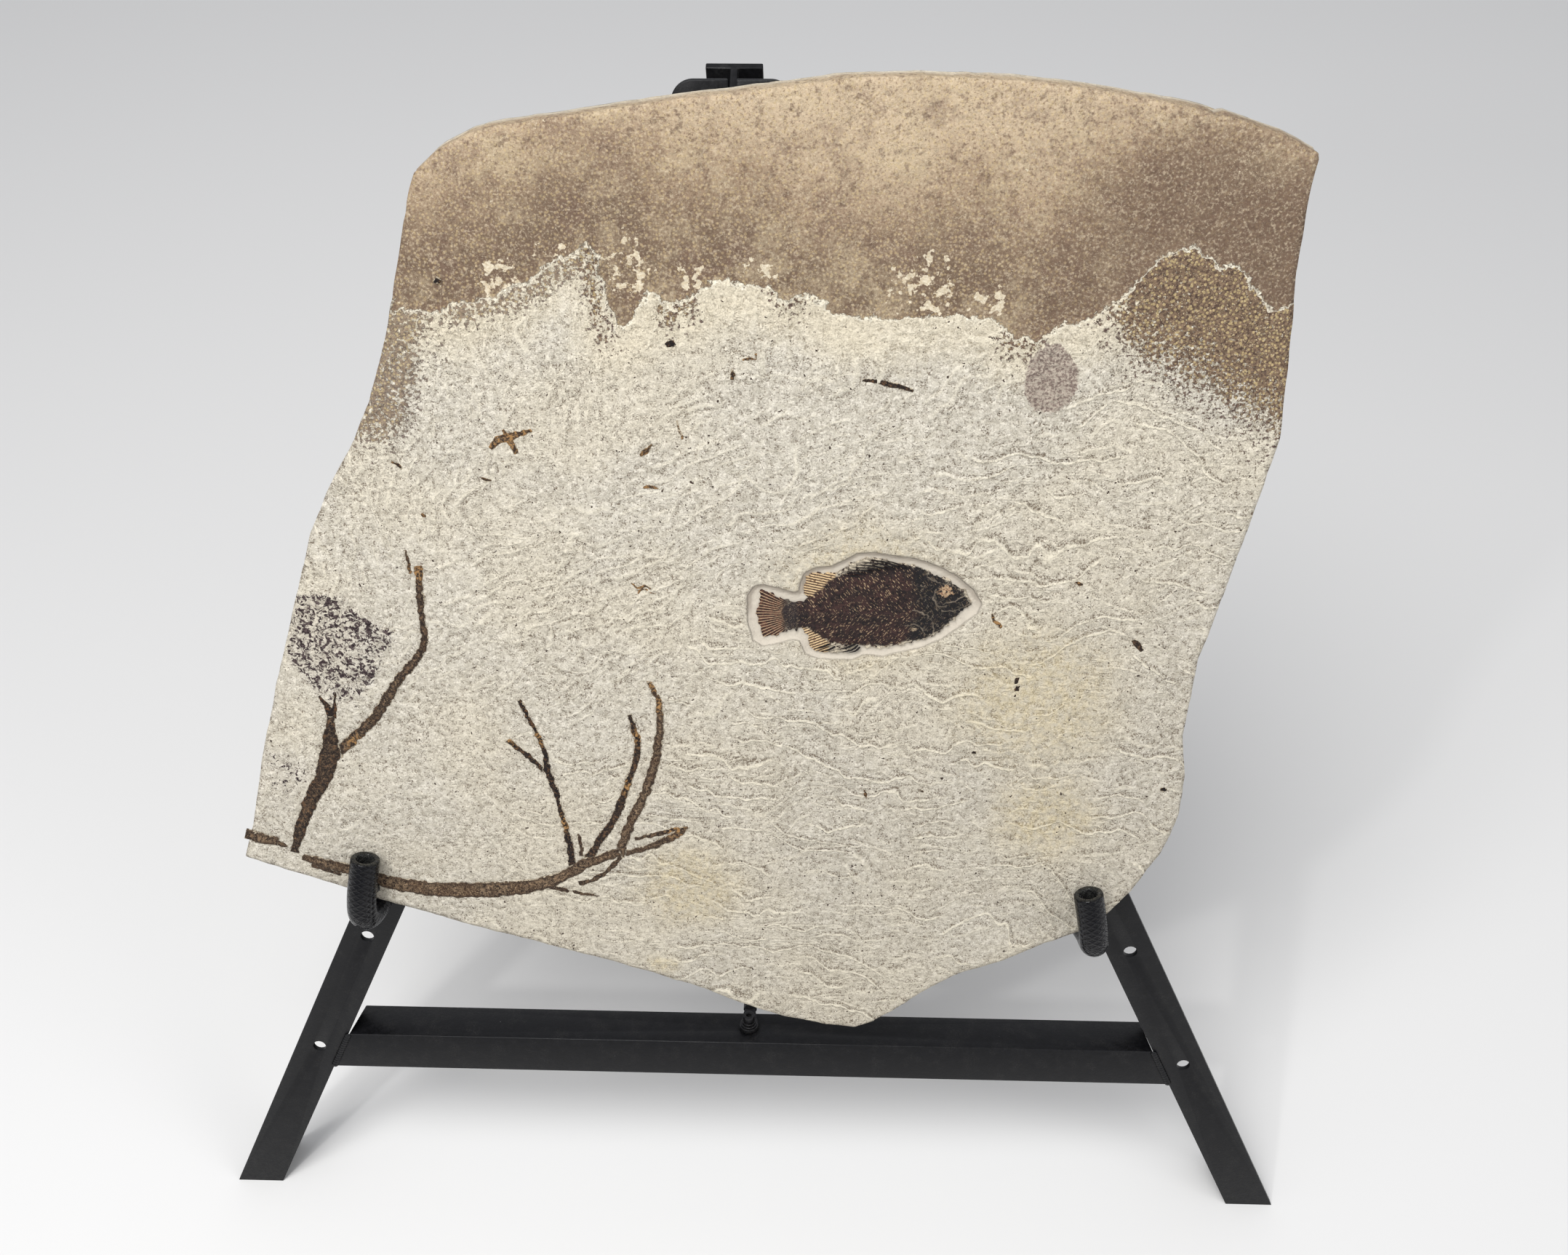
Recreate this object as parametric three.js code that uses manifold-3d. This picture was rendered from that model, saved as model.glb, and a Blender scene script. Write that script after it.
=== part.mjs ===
// A limestone slab with a fossil fish and fossil twigs, held on a steel display easel.
// Millimetres, +Z up, the face of the slab looks along -Y.
// The front frame and the slab are drawn in the easel plane: U to the right, V up the legs,
// and depth behind the front faces of the legs. The whole plane then leans back.
import * as THREE from 'three';
import { mergeVertices } from 'three/addons/utils/BufferGeometryUtils.js';
import Module from 'manifold-3d';

// ---- driving dimensions ----
const LEAN = THREE.MathUtils.degToRad(15);        // front frame leans back from upright
const SPLAY = THREE.MathUtils.degToRad(24.7);     // each front leg leans towards the middle
const REAR_ANGLE = THREE.MathUtils.degToRad(31);  // rear leg from the plane of the front frame
const GAP = 0.35;                                 // clearance between pieces that touch

const ANGLE_IRON = 25.4;                          // both flanges of the angle iron
const STEEL = 3.2;                                // thickness of every steel flange
const FOOT_HALF = 320.8;                          // middle to the outer edge of a front foot
const LEG_TOP = 652;                              // V where the leg faces end
const COPE_V = 600;                               // V where the side flanges are cut away
const CROSSBAR_TOP = 123.3;
const CROSSBAR_COPE = THREE.MathUtils.degToRad(8.5);
const SPARE_HOLES_V = [113.4, 197.6];
const SPARE_HOLE_R = 3.8;
const HOOK_HOLE_R = 4.5;

const APEX_TOP = 674.4;
const APEX_BOTTOM = 603;
const APEX_HALF_TOP = 27;
const APEX_HALF_BOTTOM = 43;
const APEX_CORNER_R = 10;
const APEX_SLOT_BOTTOM = 654;

const REAR_HEAD_V = 677.2;                        // rear top edge of the rear leg
const REAR_HEAD_DEPTH = 24;
const REAR_LENGTH = 720;

const SLAB_THICK = 14;
const SLAB_BACK = 0.3;
const SLAB_FRONT = SLAB_BACK + SLAB_THICK;
const BAND_DEPTH = 1.5;                           // the upper bedding layer lies this much lower
const TRENCH_DEPTH = 2.2;
const FISH_THICK = 1.6;
const TWIG_POCKET = 1.2;
const TWIG_THICK = 1.2;

const ROD_R = 4;
const HOSE_OUTER_R = 7.95;
const HOSE_INNER_R = 4.85;
const HOOK_NUT_R = 7.4;
const HOOK_NUT_HEIGHT = 6.5;

const TIE_EYE_R = 5.5;
const TIE_EYE_THICK = 2.5;
const TIE_ROD_R = 4;
const TIE_TAB_HALF = 2.4;                         // half width of the eye's tab at the rod
const TIE_TAB_IN_ROD = 3;                         // how far a tab runs into the rod's end
const TIE_FRONT_REACH = 14;                       // front screw to the rod's end
const TIE_REAR_REACH = 26;                        // rear screw to the rod's end
const TIE_STRAIGHT = 12;                          // straight length at both ends of the rod
const TIE_SEAT_DEPTH = 12.7;                      // screw centre behind the crossbar's front
const TIE_DROP = 560;                             // rear screw below the rear leg's head
const TIE_WEB_DEPTH = 14;                         // rear screw in front of the leg's rear face

const SCREW_R = 2;
const SCREW_HOLE_R = 2.5;
const SCREW_HEAD_R = 3.5;
const SCREW_HEAD_HEIGHT = 4;
const SOCKET_R = 1.8;
const SOCKET_DEPTH = 2;
const TIE_SHANK = 20;
const REAR_SHANK = 14;
const NUT_R = 4.2;
const NUT_HEIGHT = 3.2;
const WASHER_BORE = 2.35;
const WASHER_R = 4.9;
const WASHER_THICK = 1;
const SPRING_WASHER_R = 4;
const SPRING_WASHER_THICK = 1.2;

const FAR = 400;                                  // reach of cutting blocks past every piece
const PROUD = 5;                                  // cutting tools stand this far off the face

// ---- solids: joining and cutting ----
const wasm = await Module();
wasm.setup();

function solid(geometry) {
  const bare = geometry.clone();
  bare.deleteAttribute('normal');
  bare.deleteAttribute('uv');
  const merged = mergeVertices(bare, 1e-4);
  return new wasm.Manifold(new wasm.Mesh({
    numProp: 3,
    vertProperties: new Float32Array(merged.attributes.position.array),
    triVerts: new Uint32Array(merged.index.array),
  }));
}

function geometryOf(body) {
  const mesh = body.getMesh();
  const geometry = new THREE.BufferGeometry();
  geometry.setAttribute('position', new THREE.BufferAttribute(mesh.vertProperties, 3));
  geometry.setIndex(new THREE.BufferAttribute(mesh.triVerts, 1));
  geometry.computeVertexNormals();
  return geometry;
}

function cut(body, ...tools) {
  return tools.reduce((rest, tool) => rest.subtract(tool), body);
}

// A box given by its lowest and highest corners.
function block(low, high) {
  const size = high.map((value, axis) => value - low[axis]);
  const geometry = new THREE.BoxGeometry(...size);
  geometry.translate(...low.map((value, axis) => value + size[axis] / 2));
  return geometry;
}

// ---- materials ----
const stone = new THREE.MeshStandardMaterial({ color: 0xd9cfb4, roughness: 0.9 });
const bone = new THREE.MeshStandardMaterial({ color: 0x3a2a22, roughness: 0.6 });
const plant = new THREE.MeshStandardMaterial({ color: 0x5b4227, roughness: 0.8 });
const paint = new THREE.MeshStandardMaterial({ color: 0x2b2b30, roughness: 0.55, metalness: 0.3 });
const darkSteel = new THREE.MeshStandardMaterial({ color: 0x25252a, roughness: 0.4, metalness: 0.9 });
const hoseRubber = new THREE.MeshStandardMaterial({ color: 0x141418, roughness: 0.25 });

const assembly = new THREE.Group();
const frontPlane = new THREE.Group();             // x is U, y is depth behind the face, z is V
frontPlane.rotation.x = -LEAN;
assembly.add(frontPlane);

function place(name, shape, material, parent = frontPlane) {
  const geometry = shape.isBufferGeometry ? shape : geometryOf(shape);
  const mesh = new THREE.Mesh(geometry, material);
  mesh.name = name;
  parent.add(mesh);
  return mesh;
}

// ---- flat shapes in the easel plane ----
function shapeOf(points) {
  return new THREE.Shape(points.map(([u, v]) => new THREE.Vector2(u, v)));
}

// Extrudes a (U, V) shape towards the viewer, from one depth to another in front of the legs.
function plate(shape, back, front, curveSegments = 8) {
  const options = { depth: front - back, bevelEnabled: false, curveSegments };
  const geometry = new THREE.ExtrudeGeometry(shape, options);
  geometry.rotateX(Math.PI / 2);
  geometry.translate(0, -back, 0);
  return geometry;
}

// A tapering strip along a centre line of [U, V, width] stations.
function strip(stations, grow = 0) {
  const left = [];
  const right = [];
  const last = stations.length - 1;
  stations.forEach(([u, v, width], i) => {
    const [u0, v0] = stations[Math.max(i - 1, 0)];
    const [u1, v1] = stations[Math.min(i + 1, last)];
    const along = new THREE.Vector2(u1 - u0, v1 - v0).normalize();
    const half = width / 2 + grow;
    const push = i === 0 ? -grow : (i === last ? grow : 0);
    const cu = u + along.x * push;
    const cv = v + along.y * push;
    left.push([cu - along.y * half, cv + along.x * half]);
    right.unshift([cu + along.y * half, cv - along.x * half]);
  });
  return shapeOf([...left, ...right]);
}

// ---- the fossils' outlines ----
const SLAB_OUTLINE = [
  [-139.4, 637.4], [-126.5, 648.4], [-112.2, 655.3], [-98.3, 658.7], [-77.8, 661.5],
  [-23.6, 669.7], [19.9, 675.1], [49.7, 679.2], [82.6, 680.3], [122.2, 678.6],
  [155.3, 674.8], [188.7, 669.5], [204, 665.8], [207.7, 663.2], [210, 664.6],
  [236.4, 656.6], [252.8, 648.1],
  [251.3, 633.9], [250.2, 606.2], [250.8, 577.4], [252.6, 551.4], [253.3, 516.6],
  [246.4, 480.2], [237.2, 433.4], [229.4, 397.7], [226.7, 351], [230.2, 326.9],
  [230, 302], [222.5, 276.2], [208.4, 249.6], [199, 236.5], [195, 231.5], [187.5, 225.6],
  [181, 221.8], [143.7, 201.4], [118, 190], [104, 181], [84, 162.5], [72, 153.5],
  [62, 149], [44, 151.5], [21.7, 156.6], [3.9, 163.2], [-31.3, 179.6], [-70, 194],
  [-109.4, 206], [-150, 218.5], [-194.4, 233.2], [-235, 248.8], [-271.5, 263.2],
  [-265.7, 280.7], [-251.6, 331.8], [-239.6, 370.7], [-225.5, 412.5], [-208.9, 461.1],
  [-198.3, 482.4], [-181.4, 511.3], [-171.5, 531.3], [-160.5, 562.2], [-147.9, 610.1],
  [-142.1, 631.2],
];
// Ragged lower edge of the upper bedding layer, from the left side to the right.
const BAND_EDGE = [
  [-180, 577], [-157, 577], [-134, 575], [-118, 581], [-105, 583], [-92, 589], [-86, 594],
  [-75, 600], [-64, 607], [-60, 602], [-57, 583], [-54, 567], [-44, 575], [-37, 586],
  [-30, 577], [-18, 583], [-5, 591], [6, 588], [12, 590], [23, 582], [33, 583], [46, 577],
  [60, 573], [72, 572], [90, 576], [104, 574], [118, 574], [129, 565], [136, 563],
  [148, 571], [157, 574], [174, 582], [187, 602], [197, 605], [204, 608], [216, 600],
  [227, 598], [234, 586], [240, 579], [270, 577],
];
const FISH_OUTLINE = [
  [11, 432.5], [20, 428.6], [27, 426], [30.5, 425.5], [35.5, 428.5], [33, 430.5],
  [32.5, 440], [38, 442.4], [47, 441.6], [55, 446.8], [62, 450.2], [70, 450.2], [80, 448],
  [88, 446.4], [94, 443.4], [100, 440.5], [106, 437], [111, 432.6], [115, 426],
  [110, 421.5], [106, 417], [100, 410.5], [96, 407.6], [91, 405.4], [82, 403.4],
  [76, 401], [71, 400], [59, 402], [53, 397.2], [40, 398], [36, 399.6], [34, 408],
  [31.5, 411.4], [25, 409.4], [18, 407], [13, 405.2], [10.5, 410], [8.8, 419], [10, 427],
];
const TRENCH_OUTLINE = [
  [5, 430], [8, 434.5], [12, 435.6], [20, 433.4], [27, 431.4], [30, 432], [31, 437],
  [33, 442], [38, 445], [46, 446], [52, 449.2], [58, 453], [66, 453.8], [84, 451],
  [92, 449], [100, 445.4], [108, 440.4], [115, 433.8], [119, 427], [117.5, 421.5],
  [112, 416.6], [106, 411.6], [100, 406.4], [92, 402.4], [82, 399.4], [72, 396.6],
  [62, 397.4], [56, 394], [40, 394.4], [33.5, 397.4], [30.5, 404.6], [26, 405.6],
  [19, 403.2], [12, 401.6], [7.2, 405], [5, 415],
];
// Each fossil twig as stations of [U, V, width], thick stems before what forks from them.
const TWIGS = {
  left_twig_stem: [
    [-244, 267, 4], [-238, 284, 6], [-231, 300, 7.5], [-221, 318, 9], [-215.5, 333, 10.5],
    [-214, 345, 6], [-212.5, 355, 4],
  ],
  left_twig_branch: [
    [-213, 331, 5], [-204, 340, 6], [-196, 348, 5.5], [-188, 357, 5], [-181, 368, 5],
    [-174, 379, 4.5], [-166, 388, 4.5], [-160, 397, 4], [-158.2, 404, 3.4],
    [-158.6, 418, 3], [-158, 432, 3.4], [-157, 444, 4],
  ],
  broken_twig: [[-264, 277, 7], [-251.5, 274, 5.5]],
  main_stem: [
    [-240, 264, 4], [-230, 260.5, 6], [-215, 256, 7], [-200, 250, 8], [-188, 246.4, 9],
    [-172, 244, 9.5], [-155, 243.4, 10], [-138, 244.4, 9.5], [-120, 246.4, 8.5],
    [-106, 250.5, 7.5], [-96, 256, 6.5], [-86, 262.6, 6], [-76, 267.6, 5.5], [-66.4, 271, 5],
  ],
  thin_twig: [
    [-92.5, 258, 4], [-92.8, 273, 3.6], [-95, 288, 2.8], [-97, 301, 2.6], [-99, 313, 2.8],
    [-102, 323.6, 3.2], [-102.2, 334, 2.6], [-105, 345, 2.4], [-109.4, 356, 2.2],
    [-113.6, 367, 2],
  ],
  thin_twig_fork: [
    [-101.5, 321.5, 2.6], [-107, 328, 2.6], [-113, 334.4, 2.6], [-118, 339, 2.4], [-122, 342.4, 2],
  ],
  inner_branch: [
    [-85, 264, 4], [-78, 277, 4], [-70.6, 288.6, 4], [-65.4, 300, 4.2], [-60.6, 314, 3.8],
    [-57, 325, 3], [-53.8, 335, 3.2], [-53.4, 343, 3], [-56, 352, 2.6], [-57, 359.5, 2],
  ],
  outer_branch: [
    [-67, 268, 5], [-62.6, 284, 5], [-57, 297, 5.2], [-51.4, 310, 5], [-47.4, 322, 5],
    [-44, 335, 4.6], [-42, 348, 4.2], [-41, 360, 3.6], [-42.4, 370, 3], [-46.6, 379.5, 2],
  ],
  side_branch: [
    [-66.4, 269.9, 3.4], [-55, 273.2, 3.2], [-46, 277, 3.2], [-38, 281.4, 4.4], [-30.6, 287.6, 4],
  ],
};

// ---- the slab and what lies in it ----
const bandShape = shapeOf([...BAND_EDGE, [270, 700], [-180, 700]]);
const trenchBottom = SLAB_FRONT - TRENCH_DEPTH;
const twigBottom = SLAB_FRONT - TWIG_POCKET;

let slab = solid(plate(shapeOf(SLAB_OUTLINE), SLAB_BACK, SLAB_FRONT));
slab = cut(
  slab,
  solid(plate(bandShape, SLAB_FRONT - BAND_DEPTH, SLAB_FRONT + PROUD)),
  solid(plate(shapeOf(TRENCH_OUTLINE), trenchBottom, SLAB_FRONT + PROUD)),
);

const twigPockets = [];
for (const [name, stations] of Object.entries(TWIGS)) {
  const twigBack = twigBottom + GAP;
  const body = solid(plate(strip(stations), twigBack, twigBack + TWIG_THICK));
  const pocket = solid(plate(strip(stations, GAP), twigBottom, SLAB_FRONT + PROUD));
  place(name, cut(body, ...twigPockets), plant);
  slab = cut(slab, pocket);
  twigPockets.push(pocket);
}
place('slab', slab, stone);

const fishBack = trenchBottom + GAP;
place('fish', plate(shapeOf(FISH_OUTLINE), fishBack, fishBack + FISH_THICK), bone);

// ---- front legs: angle iron, the corner along the inner edge, the side flange running back ----
const legFaceWidth = ANGLE_IRON / Math.cos(SPLAY);
const legInnerFoot = FOOT_HALF - legFaceWidth;    // U of the corner line at the floor

function legMiddle(v) {
  return FOOT_HALF - legFaceWidth / 2 - Math.tan(SPLAY) * v;
}

// Everything under the floor, as seen from inside the leaning plane.
const floorBlock = block([-FAR, -FAR, -FAR], [FAR, FAR, 0]);
floorBlock.rotateX(LEAN);
const underFloor = solid(floorBlock);

function hole(u, v, radius) {
  const drill = new THREE.CylinderGeometry(radius, radius, 30, 16);
  drill.translate(u, 0, v);
  return solid(drill);
}

function frontLeg(side, ...hookHoles) {
  const profile = shapeOf([
    [0, 0], [side * ANGLE_IRON, 0], [side * ANGLE_IRON, STEEL], [side * STEEL, STEEL],
    [side * STEEL, ANGLE_IRON], [0, ANGLE_IRON],
  ]);
  const bar = new THREE.ExtrudeGeometry(profile, { depth: 2 * FAR, bevelEnabled: false });
  bar.translate(0, 0, -2 * ANGLE_IRON);
  bar.rotateY(-side * SPLAY);
  bar.translate(side * legInnerFoot, 0, 0);
  const middle = STEEL / 2 + GAP;
  const pastMiddle = side > 0 ? block([-FAR, -FAR, FAR], [middle, FAR, 3 * FAR])
    : block([-middle, -FAR, FAR], [FAR, FAR, 3 * FAR]);
  const top = block([-FAR, -FAR, LEG_TOP], [FAR, FAR, 3 * FAR]);
  const cope = block([-FAR, STEEL + GAP, COPE_V], [FAR, FAR, 3 * FAR]);
  const spareHoles = SPARE_HOLES_V.map((v) => hole(side * legMiddle(v), v, SPARE_HOLE_R));
  return cut(
    solid(bar), underFloor, solid(pastMiddle), solid(top), solid(cope),
    ...spareHoles, ...hookHoles,
  );
}
const LEFT_HOOK_HOLE = [-204.5, 227.8];            // U, V
place('left_leg', frontLeg(-1, hole(...LEFT_HOOK_HOLE, HOOK_HOLE_R)), paint);
place('right_leg', frontLeg(1), paint);

// ---- crossbar: angle iron between the legs, the top flange running back ----
const barProfile = shapeOf([
  [0, -ANGLE_IRON], [STEEL, -ANGLE_IRON], [STEEL, -STEEL], [ANGLE_IRON, -STEEL],
  [ANGLE_IRON, 0], [0, 0],
]);
const crossbarBar = new THREE.ExtrudeGeometry(barProfile, { depth: 2 * FAR, bevelEnabled: false });
const barAxes = new THREE.Matrix4().makeBasis(
  new THREE.Vector3(0, 1, 0), new THREE.Vector3(0, 0, 1), new THREE.Vector3(1, 0, 0),
);
crossbarBar.applyMatrix4(barAxes);
crossbarBar.translate(-FAR, 0, CROSSBAR_TOP);

// Cuts one end along the leg's inner edge, and a little further back on the flange.
function barEnd(side) {
  const tool = side > 0 ? block([-GAP, -FAR, -FAR], [FAR, FAR, FAR])
    : block([-FAR, -FAR, -FAR], [GAP, FAR, FAR]);
  tool.rotateZ(side * CROSSBAR_COPE);
  tool.rotateY(-side * SPLAY);
  tool.translate(side * legInnerFoot, 0, 0);
  return solid(tool);
}
const seatDrill = new THREE.CylinderGeometry(SCREW_HOLE_R, SCREW_HOLE_R, ANGLE_IRON, 12);
seatDrill.rotateX(Math.PI / 2);
seatDrill.translate(0, TIE_SEAT_DEPTH, CROSSBAR_TOP);
place('crossbar', cut(solid(crossbarBar), barEnd(-1), barEnd(1), solid(seatDrill)), paint);

// ---- apex plate behind the tops of the leg faces, slotted for the rear leg's web ----
const apexShape = new THREE.Shape();
const slotHalf = STEEL / 2 + GAP;
apexShape.moveTo(-APEX_HALF_BOTTOM, APEX_BOTTOM);
apexShape.lineTo(APEX_HALF_BOTTOM, APEX_BOTTOM);
apexShape.lineTo(APEX_HALF_TOP, APEX_TOP - APEX_CORNER_R);
apexShape.absarc(APEX_HALF_TOP - APEX_CORNER_R, APEX_TOP - APEX_CORNER_R, APEX_CORNER_R, 0, Math.PI / 2);
apexShape.lineTo(slotHalf, APEX_TOP);
apexShape.lineTo(slotHalf, APEX_SLOT_BOTTOM);
apexShape.lineTo(-slotHalf, APEX_SLOT_BOTTOM);
apexShape.lineTo(-slotHalf, APEX_TOP);
apexShape.absarc(
  -APEX_HALF_TOP + APEX_CORNER_R, APEX_TOP - APEX_CORNER_R, APEX_CORNER_R, Math.PI / 2, Math.PI,
);
apexShape.closePath();
const apexFront = -STEEL - GAP;
place('apex_plate', plate(apexShape, apexFront - STEEL, apexFront), paint);

// ---- rear leg: T bar, web towards the front, cut flat on the floor ----
const rearFrame = new THREE.Group();              // y towards the flange's back, z up the leg
rearFrame.position.set(0, REAR_HEAD_DEPTH, REAR_HEAD_V);
rearFrame.rotation.x = REAR_ANGLE;
frontPlane.add(rearFrame);
const teeHalf = ANGLE_IRON / 2;
const webHalf = STEEL / 2;
const teeProfile = shapeOf([
  [-teeHalf, 0], [-teeHalf, -STEEL], [-webHalf, -STEEL], [-webHalf, -ANGLE_IRON],
  [webHalf, -ANGLE_IRON], [webHalf, -STEEL], [teeHalf, -STEEL], [teeHalf, 0],
]);
const tee = new THREE.ExtrudeGeometry(teeProfile, { depth: REAR_LENGTH, bevelEnabled: false });
tee.translate(0, 0, -REAR_LENGTH);
assembly.updateMatrixWorld(true);
const floorForRear = block([-FAR, -FAR, -FAR], [FAR, FAR, 0]);
floorForRear.applyMatrix4(rearFrame.matrixWorld.clone().invert());
const webDrill = new THREE.CylinderGeometry(SCREW_HOLE_R, SCREW_HOLE_R, ANGLE_IRON, 12);
webDrill.rotateZ(Math.PI / 2);
webDrill.translate(0, -TIE_WEB_DEPTH, -TIE_DROP);
const rearLeg = cut(solid(tee), solid(floorForRear), solid(webDrill));
place('rear_leg', rearLeg, paint, rearFrame);

// ---- tie rod from the crossbar's flange to the rear leg's web, with a flat eye at each end ----
// The eye's round end is at the origin, and its tapering tab runs along +X.
function eye(tabLength) {
  const shape = new THREE.Shape();
  shape.absarc(0, 0, TIE_EYE_R, Math.PI / 2, 3 * Math.PI / 2);
  shape.lineTo(tabLength, -TIE_TAB_HALF);
  shape.lineTo(tabLength, TIE_TAB_HALF);
  shape.closePath();
  const bore = new THREE.Path();
  bore.absarc(0, 0, SCREW_HOLE_R, 0, 2 * Math.PI, true);
  shape.holes.push(bore);
  const options = { depth: TIE_EYE_THICK, bevelEnabled: false, curveSegments: 8 };
  return new THREE.ExtrudeGeometry(shape, options);
}

function polygon(radius, sides) {
  return Array.from({ length: sides }, (_, i) => {
    const turn = (2 * Math.PI * i) / sides;
    return new THREE.Vector2(radius * Math.cos(turn), radius * Math.sin(turn));
  });
}

function tubeAlong(curve, radius, steps, sides, bore = 0) {
  const section = new THREE.Shape(polygon(radius, sides));
  if (bore > 0) {
    section.holes.push(new THREE.Path(polygon(bore, sides)));
  }
  const options = { steps, extrudePath: curve, bevelEnabled: false };
  return new THREE.ExtrudeGeometry(section, options);
}

const seatZ = CROSSBAR_TOP + GAP;
const frontEye = eye(TIE_FRONT_REACH + TIE_TAB_IN_ROD);
frontEye.rotateZ(Math.PI / 2);
frontEye.translate(0, TIE_SEAT_DEPTH, seatZ);

const toFront = frontPlane.matrixWorld.clone().invert().multiply(rearFrame.matrixWorld);
const webScrew = new THREE.Vector3(0, -TIE_WEB_DEPTH, -TIE_DROP).applyMatrix4(toFront);
const rodStart = new THREE.Vector3(
  0, TIE_SEAT_DEPTH + TIE_FRONT_REACH, seatZ + TIE_EYE_THICK / 2,
);
const tabX = STEEL / 2 + GAP;
const rodRun = new THREE.Vector3(0, webScrew.y - rodStart.y, webScrew.z - rodStart.z).normalize();
const rodEnd = webScrew.clone().addScaledVector(rodRun, -TIE_REAR_REACH);
const tieCurve = new THREE.CatmullRomCurve3([
  rodStart,
  rodStart.clone().add(new THREE.Vector3(0, TIE_STRAIGHT, 0)),
  rodEnd.clone().lerp(rodStart, 0.5),
  rodEnd.clone().addScaledVector(rodRun, -TIE_STRAIGHT),
  rodEnd,
]);
const rearEye = eye(TIE_REAR_REACH + 2 * TIE_TAB_IN_ROD);
rearEye.rotateZ(Math.PI);
rearEye.applyMatrix4(new THREE.Matrix4().makeBasis(
  rodRun, new THREE.Vector3(1, 0, 0).cross(rodRun), new THREE.Vector3(1, 0, 0),
));
rearEye.translate(tabX, webScrew.y, webScrew.z);
const tieBar = tubeAlong(tieCurve, TIE_ROD_R, 12, 8);
const tieRod = solid(tieBar).add(solid(frontEye)).add(solid(rearEye));
place('tie_rod', tieRod, darkSteel);

// ---- screws, washers and nuts ----
// A ring along +Z, with a bore whose flats clear a round of the given radius.
const BORE_SIDES = 12;
function ring(outer, bore, height, sides) {
  const shape = new THREE.Shape(polygon(outer, sides));
  const corner = bore / Math.cos(Math.PI / BORE_SIDES);
  shape.holes.push(new THREE.Path(polygon(corner, BORE_SIDES)));
  return new THREE.ExtrudeGeometry(shape, { depth: height, bevelEnabled: false });
}

// A round bar along +Z between two heights.
function round(radius, low, high, sides) {
  const bar = new THREE.CylinderGeometry(radius, radius, high - low, sides);
  bar.rotateX(Math.PI / 2);
  bar.translate(0, 0, (low + high) / 2);
  return solid(bar);
}

// A socket cap screw along +Z: the shank's tip at the origin, the head's seat at its end.
function capScrew(shank) {
  const headTop = shank + SCREW_HEAD_HEIGHT;
  const whole = round(SCREW_R, 0, shank, 12).add(round(SCREW_HEAD_R, shank, headTop, 20));
  return cut(whole, round(SOCKET_R, headTop - SOCKET_DEPTH, headTop + SOCKET_DEPTH, 6));
}

const washerZ = seatZ + TIE_EYE_THICK + GAP;
const springWasherZ = washerZ + WASHER_THICK + GAP;
const headZ = springWasherZ + SPRING_WASHER_THICK + GAP;
const washer = place('tie_washer', ring(WASHER_R, WASHER_BORE, WASHER_THICK, 16), darkSteel);
washer.position.set(0, TIE_SEAT_DEPTH, washerZ);
const springRing = ring(SPRING_WASHER_R, WASHER_BORE, SPRING_WASHER_THICK, 16);
place('tie_spring_washer', springRing, darkSteel).position.set(0, TIE_SEAT_DEPTH, springWasherZ);
const tieScrew = place('tie_screw', capScrew(TIE_SHANK), darkSteel);
tieScrew.position.set(0, TIE_SEAT_DEPTH, headZ - TIE_SHANK);
const tieNut = place('tie_nut', ring(NUT_R, WASHER_BORE, NUT_HEIGHT, 6), darkSteel);
tieNut.position.set(0, TIE_SEAT_DEPTH, CROSSBAR_TOP - STEEL - GAP - NUT_HEIGHT);

const rearScrew = place('rear_screw', capScrew(REAR_SHANK), darkSteel);
rearScrew.rotation.y = Math.PI / 2;
rearScrew.position.set(tabX + TIE_EYE_THICK + GAP - REAR_SHANK, webScrew.y, webScrew.z);
const rearNut = place('rear_nut', ring(NUT_R, WASHER_BORE, NUT_HEIGHT, 6), darkSteel);
rearNut.rotation.y = Math.PI / 2;
rearNut.position.set(-STEEL / 2 - GAP - NUT_HEIGHT, webScrew.y, webScrew.z);

// ---- hooks: bent rods, each in a braided hose ----
// The left rod goes through the leg's face to a nut. The right rod runs back beside the leg's
// side flange, welded to it. Stations are [U, in front of the leg faces, V], from the rod's
// rear end to the open end of the hose.
const HOOK_PATHS = {
  left: [
    [-204.5, -15, 227.8], [-204.5, -8, 227.8], [-204.6, 0, 227.8], [-205.4, 10, 227.8],
    [-206.8, 19.5, 229.4], [-207.5, 25.4, 235.6], [-206.6, 26.8, 246], [-202.4, 23.6, 271],
  ],
  right: [
    [188.7, -20, 215.9], [188.7, -8, 215.9], [188.9, 0, 216], [190.6, 8, 216.8],
    [191.4, 16.5, 218.4], [190.6, 23.6, 224.5], [188.8, 26, 236], [184.8, 24, 257],
  ],
};
const HOOK_SAMPLES = 60;
const HOSE_PAST_ROD = 5;                          // samples of open hose past the rod's tip

const behindLegFaces = solid(block([-FAR, -GAP, 0], [FAR, FAR, FAR]));
for (const [side, stations] of Object.entries(HOOK_PATHS)) {
  const points = stations.map(([u, front, v]) => new THREE.Vector3(u, -front, v));
  const path = new THREE.CatmullRomCurve3(points, false, 'centripetal');
  const samples = path.getSpacedPoints(HOOK_SAMPLES);
  const hoseStart = samples.findIndex((point) => point.y < HOSE_OUTER_R / 2);
  const rodCurve = new THREE.CatmullRomCurve3(samples.slice(0, -HOSE_PAST_ROD));
  const hoseCurve = new THREE.CatmullRomCurve3(samples.slice(hoseStart));
  place(`${side}_hook`, tubeAlong(rodCurve, ROD_R, 18, 10), darkSteel);
  const hose = solid(tubeAlong(hoseCurve, HOSE_OUTER_R, 13, 14, HOSE_INNER_R));
  place(`${side}_hose`, cut(hose, behindLegFaces), hoseRubber);
}
const hookNut = place('left_hook_nut', ring(HOOK_NUT_R, ROD_R + GAP, HOOK_NUT_HEIGHT, 6), darkSteel);
hookNut.rotation.x = -Math.PI / 2;
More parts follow.
